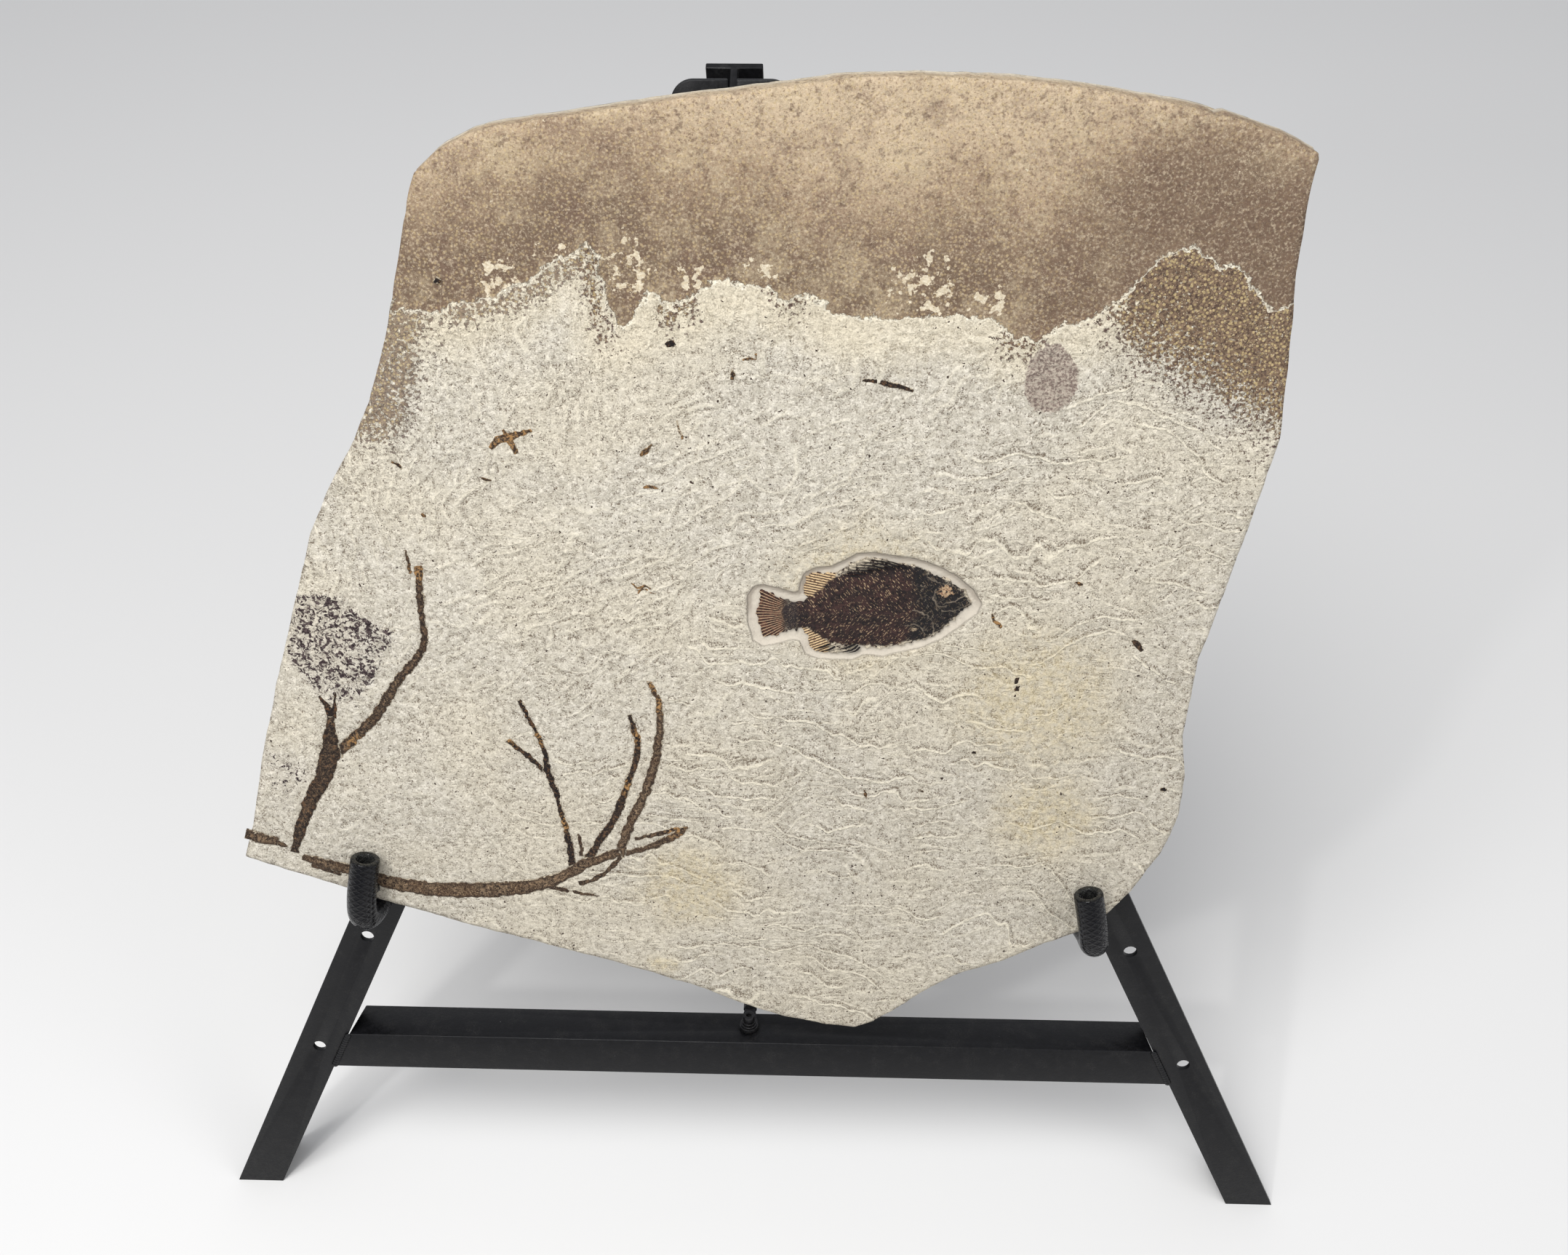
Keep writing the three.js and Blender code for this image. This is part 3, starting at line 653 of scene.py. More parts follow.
# Relief of the face, the wall and the back, in mm.
u, v, n = flat_points(slab.data)
on_face, on_back = n > -0.01, n < 0.01 - sum(WALL_DROPS)
closed_rim = np.vstack([rim, rim[:1]])
from_rim, rim_u, rim_v = nearest(u, v, closed_rim)

bed_loop = face_loops("slab", BED_FLOOR)[0]
held = nearest(bed_loop[:, 0], bed_loop[:, 1], closed_rim)[0] < 0.5
turn = next(i for i in range(len(held)) if held[i] and not held[(i + 1) % len(held)])
free = int(np.argmax(np.roll(held, -turn)[1:])) + 2
bed_edge = np.roll(bed_loop, -turn, 0)[:free]
ragged_u = u + 1.6 * lumps(u, v, 7, 11) + 0.8 * lumps(u, v, 2.8, 12)
ragged_v = v + 1.8 * lumps(u, v, 6, 13) + 0.9 * lumps(u, v, 2.6, 14)
bed = nearest(ragged_u, ragged_v, bed_edge)[0]
pulled = inside(u + 0.015 * (centre[0] - u), v + 0.015 * (centre[1] - v), bed_loop)
bed = np.where(np.where(bed > 5, pulled, inside(ragged_u, ragged_v, bed_loop)), bed, -bed)

trench = face_loops("slab", CHANNEL_FLOOR)[0]
channel = depth_within(u + 0.3 * lumps(u, v, 6, 15), v + 0.3 * lumps(u, v, 6, 16), trench)

# Two sets of wrinkles run upright at the upper left, slant in the middle and lie level at
# the lower right. Each keeps to its own lane, wanders on its own and lasts a few centimetres.
zone = 0.6 * (u + 140) + 0.8 * (600 - v) + 26 * lumps(u, v, 55, 20)
UPRIGHT_TO, SLANT_TO = 120, 225  # mm from the upper left along the slab's diagonal
seam = np.minimum(abs(zone - UPRIGHT_TO), abs(zone - SLANT_TO))
across = np.where(zone < UPRIGHT_TO, u - 0.1 * v,
                  np.where(zone < SLANT_TO, 0.45 * u - 0.9 * v, v + 0.1 * u))
along = np.where(zone < UPRIGHT_TO, v + 0.1 * u,
                 np.where(zone < SLANT_TO, 0.9 * u + 0.45 * v, u - 0.1 * v))


def wrinkles(pitch, sway, length, share, seed):
    """Signed mm from the nearest wrinkle of a set, and how strongly it stands there."""
    reach = across + 14 * lumps(u, v, 48, seed) + 4 * lumps(u, v, 17, seed + 1)
    lane = np.round(reach / pitch)
    wander = sway * (lumps(along, lane * 48, 15, seed + 2)
                     + 0.6 * lumps(along, lane * 17, 5.5, seed + 3))
    off = reach - lane * pitch - wander
    stands = ramp(lumps(along, lane * 3.1 * length, length, seed + 5), -share, 0.35 - share)
    return off, stands * ramp(abs(reach - lane * pitch), pitch / 2, pitch / 2 - 1.2)


TWIGS = [name for name in frame["nodes"] if "twig" in name or "branch" in name or "stem" in name]
in_twig = np.full(len(u), -9.0)
for name in TWIGS:
    in_twig = np.maximum(in_twig, depth_within(u, v, face_loops(name, TWIG_TOP)[0]))
untouched = ramp(bed, -4, -10) * ramp(channel, -2.5, -5) * ramp(in_twig, -1, -3)
untouched *= 1 - 0.6 * ramp(-u, 70, 140) * ramp(-v, -390, -340)
untouched *= ramp(seam, 3, 12)
off_wide, wide = wrinkles(11, 3.6, 24, 0.1, 210)
off_slight, slight = wrinkles(6.4, 2, 12, 0.1, 230)
wide *= untouched * (0.5 + 0.5 * ramp(zone, 150, 260))
slight *= 0.55 * untouched
crest = np.maximum(wide * ramp(abs(off_wide), 1.7, 0.2), slight * ramp(abs(off_slight), 1.6, 0.2))


def swell(u, v):
    return 0.5 * lumps(u, v, 70, 41, 2)


def bumps(u, v):
    return (0.3 * lumps(u, v, 13, 43, 2) + 0.2 * lumps(u, v, 4.5, 45)
            + 0.1 * lumps(u, v, 2.6, 46))


rough = ramp(bed, 2, -4) * ramp(channel, 0.5, -3)
relief = swell(u, v) + rough * bumps(u, v)
relief += 0.32 * crest
relief -= 0.5 * ramp(in_twig, -0.4, 0.6)
relief -= 1.35 * ramp(bed, -1.2, 1.2)
relief += 0.35 * ramp(abs(bed + 1.2), 1.8, 0)
relief -= 2.1 * ramp(channel, -1.6, 1.4)
relief -= 0.9 * ramp(from_rim, 3, 0)
n = np.where(on_face, relief, np.where(on_back, n, n + relief * (1 + n / 14)))

arc = rim_u + rim_v
nibble = 0.35 * lumps(rim_u, rim_v, 18, 51) + 0.2 * lumps(rim_u, rim_v, 5, 52)
lamina = 0.25 * lumps(arc, n * 2, 9, 53) + 0.15 * lumps(arc, n, 3, 54)
outward = np.where(on_face | on_back, 0, lamina) + nibble - 0.3
reach = ramp(from_rim, 7, 0)
edge_u, edge_v = rim_u - centre[0], rim_v - centre[1]
edge_r = np.hypot(edge_u, edge_v)
u = u + outward * reach * edge_u / edge_r
v = v + outward * reach * edge_v / edge_r
n = n + np.where(on_back, 0.7 * lumps(u, v, 60, 55, 2) + 0.35 * lumps(u, v, 14, 56), 0)
n = np.where(on_back, np.maximum(n, -sum(WALL_DROPS) - 0.2), n)
place_smooth(slab.data, on_easel(u, v, SLAB_FACE + n))

# Where the markings of the bedding plane lie, from 0 to 1 or in mm inside each one's edge.
LEAF = np.array([
    (-220, 426), (-206, 429), (-190, 421), (-173, 402), (-179, 389), (-195, 365),
    (-211, 359), (-219, 369), (-231, 390), (-227, 411)])
LEAF_TRACE = np.array([(-252, 338), (-240, 330), (-226, 326), (-238, 304), (-247, 292)])
SMUDGE = (145, 545, 12)
FLAKED = ((-76, 600, 15), (-48, 596, 20), (-108, 590, 16), (84, 588, 24), (118, 578, 15),
          (-20, 590, 10), (10, 594, 12))
STAINS = ((-44, 194, 14), (150, 372, 60), (60, 430, 60), (160, 300, 40), (-30, 250, 40))
wavy_u, wavy_v = u + 3 * lumps(u, v, 9, 61, 2), v + 3 * lumps(u, v, 9, 63, 2)
leaf = ramp(depth_within(wavy_u, wavy_v, LEAF), -2, 4)
leaf = np.maximum(leaf, 0.6 * ramp(depth_within(wavy_u, wavy_v, LEAF_TRACE), -3, 5))
right_patch = ramp(wavy_u * 0.55 + wavy_v, 622, 700) * ramp(wavy_u, 146, 186)
left_patch = 0.78 * ramp(-wavy_u * 0.9 + wavy_v * 0.25, 252, 282) * ramp(wavy_v, 490, 530)
crust_patch = 0.55 * ramp(lumps(u, v, 26, 65), -0.1, 0.5) * ramp(bed, -20, -3)
crust_patch = np.maximum(crust_patch, 0.6 * ramp(abs(u + 95), 50, 30) * ramp(bed, -16, -5))
mottle = np.maximum(np.maximum(right_patch, left_patch), crust_patch) * ramp(bed, 1, -1)
smudge = SMUDGE[2] - np.hypot(0.7 * u + 0.3 * wavy_u - SMUDGE[0],
                              (0.7 * v + 0.3 * wavy_v - SMUDGE[1]) * 0.7)
stain = 0 * u
for stain_u, stain_v, size in STAINS:
    stain = np.maximum(stain, ramp(np.hypot(wavy_u - stain_u, wavy_v - stain_v), size, size / 4))
flaking = 0.25 * ramp(bed, 5, 0)
for flaked_u, flaked_v, size in FLAKED:
    away = np.hypot(wavy_u - flaked_u, wavy_v - flaked_v)
    flaking = np.maximum(flaking, ramp(away, size, size / 3))
# Painted shade on the channel's upper wall, which faces down, away from the light.
lee_wall = ramp(abs(channel - 0.3), 2.2, 0.4) * ramp(v - 0.05 * u, 416, 424)
wall = np.where(on_back, 1, np.where(on_face, 0, ramp(-n - 4 * ramp(bed, 0, 20), 3, 10)))
shadow = ramp(u, 105, 200) * ramp(bed, 62, 36)
add_attributes(
    slab.data, off_wide=off_wide, wide=wide, off_slight=off_slight, slight=slight, bed=bed,
    channel=channel, leaf=leaf, mottle=mottle, smudge=smudge, stain=stain, flaking=flaking,
    shadow=shadow, relief=np.where(on_face, relief, 0), lee_wall=lee_wall, wall=wall)

limestone, tree, shader, mm = new_material("limestone")
fine, coarse = in_group(grain_group, Place=mm, Size=1.25)
finer, cloud, broad = noise(mm, 0.75, 3, 0.6), noise(mm, 15, 3), noise(mm, 70)
bed_mm = attribute(tree, "bed")
place = node(tree, "SeparateXYZ", {0: mm}).outputs

# Each wrinkle has a pale crest and a shadier strip along its lower side.
jitter = mad(coarse, 2.2, -1.1)
ridge, lee = 0, 0
for label in ("wide", "slight"):
    off, stands = plus(attribute(tree, "off_" + label), jitter), attribute(tree, label)
    crest_here = times(between(size_of(off), 1.15, 0.2), between(coarse, 0.36, 0.54, 0.6, 1))
    ridge = most(ridge, times(crest_here, stands))
    lee = most(lee, times(between(size_of(minus(off, 1.9)), 1.5, 0.3), stands))

# Cream plates a millimetre or two across, parted by a net of warm grey that comes and goes,
# with dark specks gathered in the hollows. Where the bump is low, the ground is darkened and
# the specks thicken as painted shade.
shaded = mad(place["X"], -0.4, times(place["Z"], 0.8))
netted = times(between(size_of(minus(noise(mm, 2.9, 4, 0.72), 0.5)), 0.034, 0.006),
               between(mad(lee, 0.16, cloud), 0.32, 0.66, 0.5, 1))
speck_from = mad(attribute(tree, "relief"), 0.03, mad(lee, -0.05, mad(cloud, -0.06, 0.635)))
specks = between(minus(fine, speck_from), -0.035, 0.03)
hollow = noise(mm, 3.6, 4, 0.6)
sunk = between(mad(lee, -0.12, hollow), 0.54, 0.42, 0.25, 1)
pits = times(between(minus(finer, speck_from), -0.055, 0), sunk)
grey = times(times(most(times(netted, 0.8), specks), mad(ridge, -0.8, 1)), mad(sunk, 0.5, 0.5))

# A leaf and its stalk are left as torn flakes, soot lies in spots, and crusts mottle the edges.
leafy = attribute(tree, "leaf")
blots = between(noise(mm, 6.5, 3, 0.6), 0.6, 0.64)
torn = mad(blots, -0.12, mad(leafy, -0.16, 0.68))
flaked = between(minus(noise(mm, 2.6, 4, 0.68, Distortion=0.9), torn), -0.012, 0.014)
flaked = times(flaked, between(leafy, 0, 0.2))
mottled = attribute(tree, "mottle")
blot = noise(mm, 2, 4, 0.7)
blotted = times(between(minus(blot, mad(mottled, -0.3, 0.655)), -0.02, 0.025),
                between(mottled, 0, 0.12))
crystals = node(tree, "TexVoronoi", {"Vector": mm, "Scale": 0.55}).outputs["Distance"]
crystals = mad(fine, 0.6, crystals)
ochre = coats(
    tones(fine, 0.4, 0.6, (88, 70, 60), (140, 117, 94)),
    (crystals, 0.72, 0.58, 0.85, (188, 166, 122)),
    (finer, 0.6, 0.68, 1, (212, 196, 160)),
    (mottled, 0.65, 0.3, 0.8, tones(fine, 0.4, 0.6, (84, 68, 66), (122, 104, 96))))
ground = coats(
    tones(coarse, 0.32, 0.68, (199, 192, 176), (224, 217, 202)),
    (broad, 0.4, 0.65, 0.5, (219, 209, 187)),
    (shaded, 360, 160, 0.22, (168, 159, 142)),
    # painted shade: the low parts of the bump's lumps are darkened
    (hollow, 0.5, 0.34, 0.24, (170, 159, 143)),
    (times(grey, 0.5), (154, 140, 120)),
    (times(pits, 0.9), (116, 101, 84)),
    (bed_mm, -30, -8, 0.5, (224, 211, 183)),
    (times(ridge, 0.6), (228, 219, 197)),
    (times(attribute(tree, "stain"), between(coarse, 0.3, 0.7, 0.1, 0.55)), (204, 186, 142)),
    (times(leafy, 0.15), (176, 168, 162)),
    (flaked, tones(fine, 0.4, 0.6, (44, 33, 36), (92, 78, 77))),
    (noise(mm, 2.3, 2, 0.6), 0.7, 0.72, 1, (66, 53, 46)),
    (times(blotted, between(place["X"], -80, -60, 0.85, 1)), ochre),
    (mad(blot, 5, attribute(tree, "smudge")), 2.2, 3, 1,
     tones(fine, 0.4, 0.6, (126, 110, 101), (190, 177, 161))))

# The brown bed pales towards the top edge, and cream flakes still cling to it lower down.
deep = mad(cloud, 26, mad(broad, 44, bed_mm))
crumbs = mad(attribute(tree, "flaking"), -0.19, 0.72)
brown = coats(
    tones(deep, 50, 94, (112, 93, 76), (157, 135, 110)),
    (deep, 78, 118, 1, (192, 171, 143)),
    (noise(mm, 24, 4, 0.65), 0.46, 0.64, 0.4, (194, 176, 144)),
    (noise(mm, 19, 4, 0.7), 0.5, 0.66, 0.45, (116, 93, 80)),
    (crystals, 0.7, 0.56, 0.5, (194, 172, 130)),
    (coarse, 0.46, 0.34, 0.55, (100, 80, 68)),
    (times(attribute(tree, "shadow"), 0.75), (108, 88, 73)),
    (fine, 0.48, 0.66, 0.5, (200, 183, 156)),
    (fine, 0.48, 0.34, 0.65, (106, 86, 71)),
    (finer, 0.64, 0.72, 0.6, (214, 200, 174)),
    (finer, 0.36, 0.28, 0.7, (84, 66, 55)),
    (minus(noise(mm, 4.5, 4, 0.6), crumbs), -0.008, 0.012, 1,
     tones(fine, 0.4, 0.6, (196, 180, 152), (218, 206, 182))))
ragged_bed = plus(bed_mm, plus(between(fine, 0.25, 0.75, -0.6, 0.6),
                               between(coarse, 0.2, 0.8, -1.6, 1.6)))
# A pale lip of broken cream stone along the bed's edge, brightened further as a painted highlight
# where it faces up to the light.
lip_and_highlight = times(between(size_of(plus(ragged_bed, 0.35)), 0.7, 0.3),
            between(cloud, 0.35, 0.5, 0.4, 0.95))
ground_wall = between(plus(attribute(tree, "channel"), finer), -0.9, 0.6)
layers = noise(node(tree, "Mapping", {"Vector": mm, "Scale": (0.06, 1, 0.06)}).outputs[0], 1.6, 3)
wall = coats(tones(layers, 0.25, 0.75, (220, 211, 192), (192, 179, 156)),
             (fine, 0.55, 0.7, 0.5, (150, 134, 114)))
colour = coats(
    tones(ragged_bed, -0.15, 0.15, ground, brown),
    # pale broken lip with a painted highlight
    (lip_and_highlight, (236, 227, 206)),
    (ground_wall, (197, 188, 173)),
    # painted shade on the channel's upper wall
    (times(attribute(tree, "lee_wall"), 0.75), (160, 149, 135)),
    (attribute(tree, "wall"), wall))
height = times(ridge, 0.5)
for mask, rise in ((grey, -0.28), (pits, -0.1), (coarse, 0.85), (hollow, 2.2), (fine, 0.5),
                   (blotted, -0.25)):
    height = mad(mask, rise, height)
calm = most(between(ragged_bed, -0.5, 0.5, 0, 0.6), ground_wall)
height = times(height, between(calm, 0, 1, 1, 0.3))
height = mad(flaked, 0.12, mad(between(ragged_bed, 0.4, -0.4), 0.35, height))
give_surface(shader, colour, between(fine, 0.3, 0.7, 0.95, 0.8), height, 0.25)
record(slab, limestone, "slab")

# ---- Fossil fish ----
# A small deep-bodied lake fish, 106 mm long, its bones, scales and fins pressed flat and
# turned dark brown. It lies on the floor of the channel that was ground around it.
FISH_FLOOR = 12.3
FISH_FACE = 14.05
FISH_TOP = 14.1
FISH_GRID_FINE = 0.42
BODY = np.array([
    (115, 426), (111, 432.6), (106, 437), (100, 440.5), (94, 443.4), (88, 446.4), (80, 447.6),
    (70, 446), (60, 444), (54, 442.6), (48, 440.6), (44, 437), (40, 432.5), (35, 429), (30, 427),
    (26, 427), (22.5, 424), (21, 420), (22.5, 414), (26, 410.5), (31, 411.2), (34, 411.5),
    (38, 408.5), (42, 405), (48, 402.5), (59, 401.5), (71, 400.3), (82, 403.4), (91, 405.4),
    (100, 410.5), (106, 417), (110, 421.5)])
SOFT_DORSAL = np.array([(30, 425), (30, 445), (48, 445), (48, 438), (40, 430)])
SOFT_ANAL = np.array([(30, 413), (32, 395), (44, 395), (45, 403), (38, 409)])
TAIL_ROOT = (33, 419.5)
ORBIT = (101.5, 433)
SUTURES = (  # edges of the gill cover, cheek, jaws and brow
    ((86, 422.5), (90, 422), (93.5, 419.5), (96.5, 415.5), (97, 411), (96, 406.5)),
    ((82.5, 413.7), (86.5, 415), (90, 413), (92.5, 409)),
    ((97, 434.5), (96, 429), (98, 425), (102.5, 425)),
    ((101, 426.5), (106.5, 428), (112, 431.5), (115, 433)),
    ((100, 422.5), (105.5, 422), (110, 424), (115, 427)),
    ((92.5, 441), (98, 438), (103.5, 437), (108, 434.5)),
)
fish_loop = face_loops("fish", FISH_FACE)[0]
low_u, low_v = fish_loop.min(0)
high_u, high_v = fish_loop.max(0)
fish = cut_grid("fossil_fish", fish_loop, spread(low_u, high_u, FISH_GRID_FINE),
                spread(low_v, high_v, FISH_GRID_FINE))
drop_walls(1)
u, v, n = flat_points(fish.data)
skirt = n < -0.5
fray_u = 0.9 * lumps(u, v, 1.9, 71, 2)
fray_v = 0.9 * lumps(u, v, 1.9, 73, 2)
edge = depth_within(u, v, fish_loop)
u, v = u + fray_u * ramp(edge, 2, 0), v + fray_v * ramp(edge, 2, 0)
body = depth_within(u + fray_u, v + fray_v, BODY)
fin = ramp(body, 0.5, -0.4)
tail = ramp(u + 0.6 * fray_u, 25, 22.5)
soft = ramp(depth_within(u, v, SOFT_DORSAL), -0.3, 0.5)
soft = np.maximum(soft, ramp(depth_within(u, v, SOFT_ANAL), -1, 0.5))
belly = ramp(v + fray_v, 402.4, 401) * ramp(u, 54, 58)

# Fin rays fan from the tail's root and lie nearly level in the soft dorsal fin.
tail_angle = np.degrees(np.arctan2(v - TAIL_ROOT[1], TAIL_ROOT[0] - u))
dorsal = np.where(u < 48, (v + 0.22 * (u - 40)) / 1.42, (v + 0.3 * u) / 2.1)
ray = np.where(tail > 0.5, tail_angle / 4.1,
               np.where(v > 420, dorsal, (v - 0.42 * (u - 50)) / 1.5))
ray_ridge = ramp(abs(ray - np.round(ray)), 0.34, 0.12)
head = ramp(u + 0.22 * abs(v - 424) + 2.2 * lumps(u, v, 6, 75, 2), 84, 92)
spine_line = ramp(abs(v - 420 - 0.02 * (u - 60)), 0.9, 0.3)
spine_line = spine_line * ramp(u, 30, 38) * ramp(u, 84, 76)
plates = abs(lumps(u, v, 3.4, 81, 2)) + 0.25 * lumps(u, v, 1.3, 84)
crown = 1 - np.exp(-np.maximum(body, 0) / 4)
height = 0.4 + 1.0 * crown * (1 - fin) + 0.14 * lumps(u, v, 1.2, 79, 2) * (1 - tail)
height += (1 - fin) * (1 - head) * (0.25 * lumps(u, v, 5, 85) + 0.25 * spine_line)
height += head * (0.5 * plates - 0.2)
height += fin * 0.3 * ray_ridge
height = np.where(skirt, -0.6, np.minimum(height, FISH_TOP - FISH_FLOOR))
place_smooth(fish.data, on_easel(u, v, FISH_FLOOR + height))
suture = np.full(len(u), 9.0)
for path in SUTURES:
    suture = np.minimum(suture, nearest(u + 0.5 * fray_u, v + 0.5 * fray_v, np.array(path))[0])
scrap = np.hypot(u - 86.5, (v - 411.5) * 1.5)
orbit = np.hypot(u - ORBIT[0] + 0.9 * fray_u, (v - ORBIT[1]) * 1.15 + 0.9 * fray_v)
add_attributes(fish.data, fin=fin, ray=ray, head=head, orbit=orbit, tail=tail, soft=soft,
               belly=belly, suture=suture, scrap=scrap)

fossil_bone, tree, shader, mm = new_material("fossil_bone")
fine, coarse = in_group(grain_group, Place=mm, Size=0.55)
patches = noise(mm, 7, 3, 0.6)
in_head = attribute(tree, "head")
place = node(tree, "SeparateXYZ", {0: mm}).outputs


def strokes(tilt, length, width, thin, seed):
    """Scattered pale dashes, laid at a tilt in degrees."""
    turned = node(tree, "Mapping", {"Vector": mm, "Rotation": (0, math.radians(tilt), 0),
                                    "Location": (seed, 0, seed)})
    flat = node(tree, "Mapping", {"Vector": turned.outputs[0],
                                  "Scale": (1 / length, 0, 1 / width)})
    cells = node(tree, "TexVoronoi", {"Vector": flat.outputs[0], "Scale": 1, "Randomness": 0.85})
    lot = node(tree, "SeparateXYZ", {0: cells.outputs["Color"]}).outputs["X"]
    lot = mad(lot, 0.3, cells.outputs["Distance"])
    return between(mad(fine, 0.3, lot), thin + 0.08, thin)


# Scale edges slant one way above the backbone and the other way below it.
upper = between(place["Z"], 418.5, 421.5)
dash = blend(upper, strokes(48, 2, 0.6, 0.5, 3), strokes(-50, 2, 0.6, 0.5, 31))
hair = blend(upper, strokes(54, 5, 0.7, 0.44, 57), strokes(-58, 5, 0.7, 0.44, 83))
dash = times(most(dash, times(hair, 0.7)), between(patches, 0.3, 0.6, 0.5, 1))
dash = times(dash, between(in_head, 0, 1, 1, 0.3))

# The skull is broken into plates, with pale stone showing in the cracks and in the orbit.
cracked = times(between(size_of(minus(noise(mm, 4.2, 4, 0.62), 0.5)), 0.017, 0.005),
                between(noise(mm, 2.4), 0.44, 0.6))
cracked = times(cracked, in_head)
socket = times(between(mad(noise(mm, 2, 3, 0.65), -7, attribute(tree, "orbit")), 0.4, -0.2),
               between(coarse, 0.6, 0.52))
seamed = times(between(mad(fine, 0.9, attribute(tree, "suture")), 0.95, 0.6),
               between(patches, 0.35, 0.55, 0.35, 1))
shard = mad(noise(mm, 2.2, 3, 0.65), 9, attribute(tree, "scrap"))

# The tail's rays are brown, the soft fins' thin and dark, and the fringe between is pale.
ray_gap = mad(fine, 0.2, size_of(minus(fraction(attribute(tree, "ray")), 0.5)))
tail_colour = tones(ray_gap, 0.46, 0.54, tones(
    coarse, 0.4, 0.65, (46, 24, 18), (96, 62, 48)), (194, 166, 132))
soft_colour = tones(coarse, 0.52, 0.7, tones(
    ray_gap, 0.36, 0.28, (210, 182, 140), (62, 38, 27)), (92, 62, 44))
fins = coats(
    tones(coarse, 0.48, 0.6, (204, 191, 168), (52, 36, 33)),
    (ray_gap, 0.42, 0.34, 0.45, (22, 16, 18)),
    (attribute(tree, "soft"), soft_colour),
    (attribute(tree, "tail"), tail_colour))
bone = coats(
    tones(patches, 0.36, 0.64, (30, 17, 16), (56, 33, 29)),
    (coarse, 0.46, 0.66, 0.9, (12, 7, 9)),
    (fine, 0.6, 0.72, 0.7, (84, 58, 50)),
    (in_head, tones(coarse, 0.46, 0.66, (6, 4, 6), (30, 24, 27))),
    (dash, tones(fine, 0.35, 0.65, (126, 98, 74), (196, 172, 138))),
    (cracked, (126, 115, 99)),
    (times(socket, 0.9), tones(fine, 0.4, 0.62, (128, 92, 70), (206, 180, 142))),
    (seamed, (116, 105, 91)),
    (shard, 6.6, 5.6, 1, tones(fine, 0.4, 0.6, (96, 78, 62), (170, 152, 126))),
    (attribute(tree, "fin"), fins),
    (times(attribute(tree, "belly"), between(coarse, 0.4, 0.5)), (200, 188, 166)),
    (size_of(minus(place["X"], 25.5)), 5, 2.5, 0.75,
     tones(fine, 0.57, 0.66, (32, 26, 27), (150, 134, 116))))
height = mad(cracked, -0.25, mad(coarse, 0.5, mad(dash, 0.16, times(fine, 0.4))))
give_surface(shader, bone, between(coarse, 0.3, 0.7, 0.42, 0.7), height, 0.3)
record(fish, fossil_bone, "fish")

# ---- Fin spines ----
# Hard, dark, tapering spines that sweep back from the ridge of the back and from under the
# tail's root, standing free of the pale fringe between them.
SPINES = (  # base, middle and tip, in mm right and up
    ((82.5, 445.7), (77.6, 448.4), (71.4, 450)), ((78.9, 446), (71.5, 449.4), (62.9, 450.1)),
    ((76.7, 445.5), (69.1, 448.3), (58.1, 448.5)), ((73.4, 445), (65.4, 447.1), (56, 447)),
    ((69.8, 444.4), (62.4, 445.9), (54.5, 445.4)), ((66, 443.6), (60, 444.5), (52.4, 444)),
    ((62.5, 442.2), (57.6, 442.9), (50.6, 442.7)), ((59.4, 441), (54.5, 441.5), (49.6, 441.2)),
    ((59.5, 402.3), (56.4, 399.3), (49.4, 397.6)), ((57.9, 402.9), (54.5, 401), (48.6, 399)),
    ((60.5, 401.3), (58.3, 398.9), (53.5, 397.2)), ((45.1, 402.7), (41, 400.5), (37.2, 399.6)),
    ((48, 401.4), (44.3, 399), (40, 398.2)),
)
SPINE_RADIUS = 0.64  # mm at the thickest
SPINE_DEPTHS = (0.5, 0.5, 1.1)  # mm under the fish's highest point
spines = []
for number, stations in enumerate(SPINES):
    path, run = smooth_path([(u, FISH_TOP - depth, v)
                             for (u, v), depth in zip(stations, SPINE_DEPTHS)])
    rings = [(0, 0), (0.2, 0.7 * SPINE_RADIUS)]
    rings += [(share * run[-1], SPINE_RADIUS * (1.05 - share))
              for share in (0.2, 0.4, 0.6, 0.8, 0.96)]
    spines.append(sweep(f"spine_{number}", path, run, [*rings, (run[-1], 0)], 8))
spine_bone, tree, shader, mm = new_material("spine_bone")
fine, coarse = in_group(grain_group, Place=mm, Size=0.5)
give_surface(shader, tones(coarse, 0.4, 0.65, (9, 7, 9), (34, 27, 27)), 0.6,
             times(fine, 0.15), 0.2)
record(joined("fin_spines", spines), spine_bone)

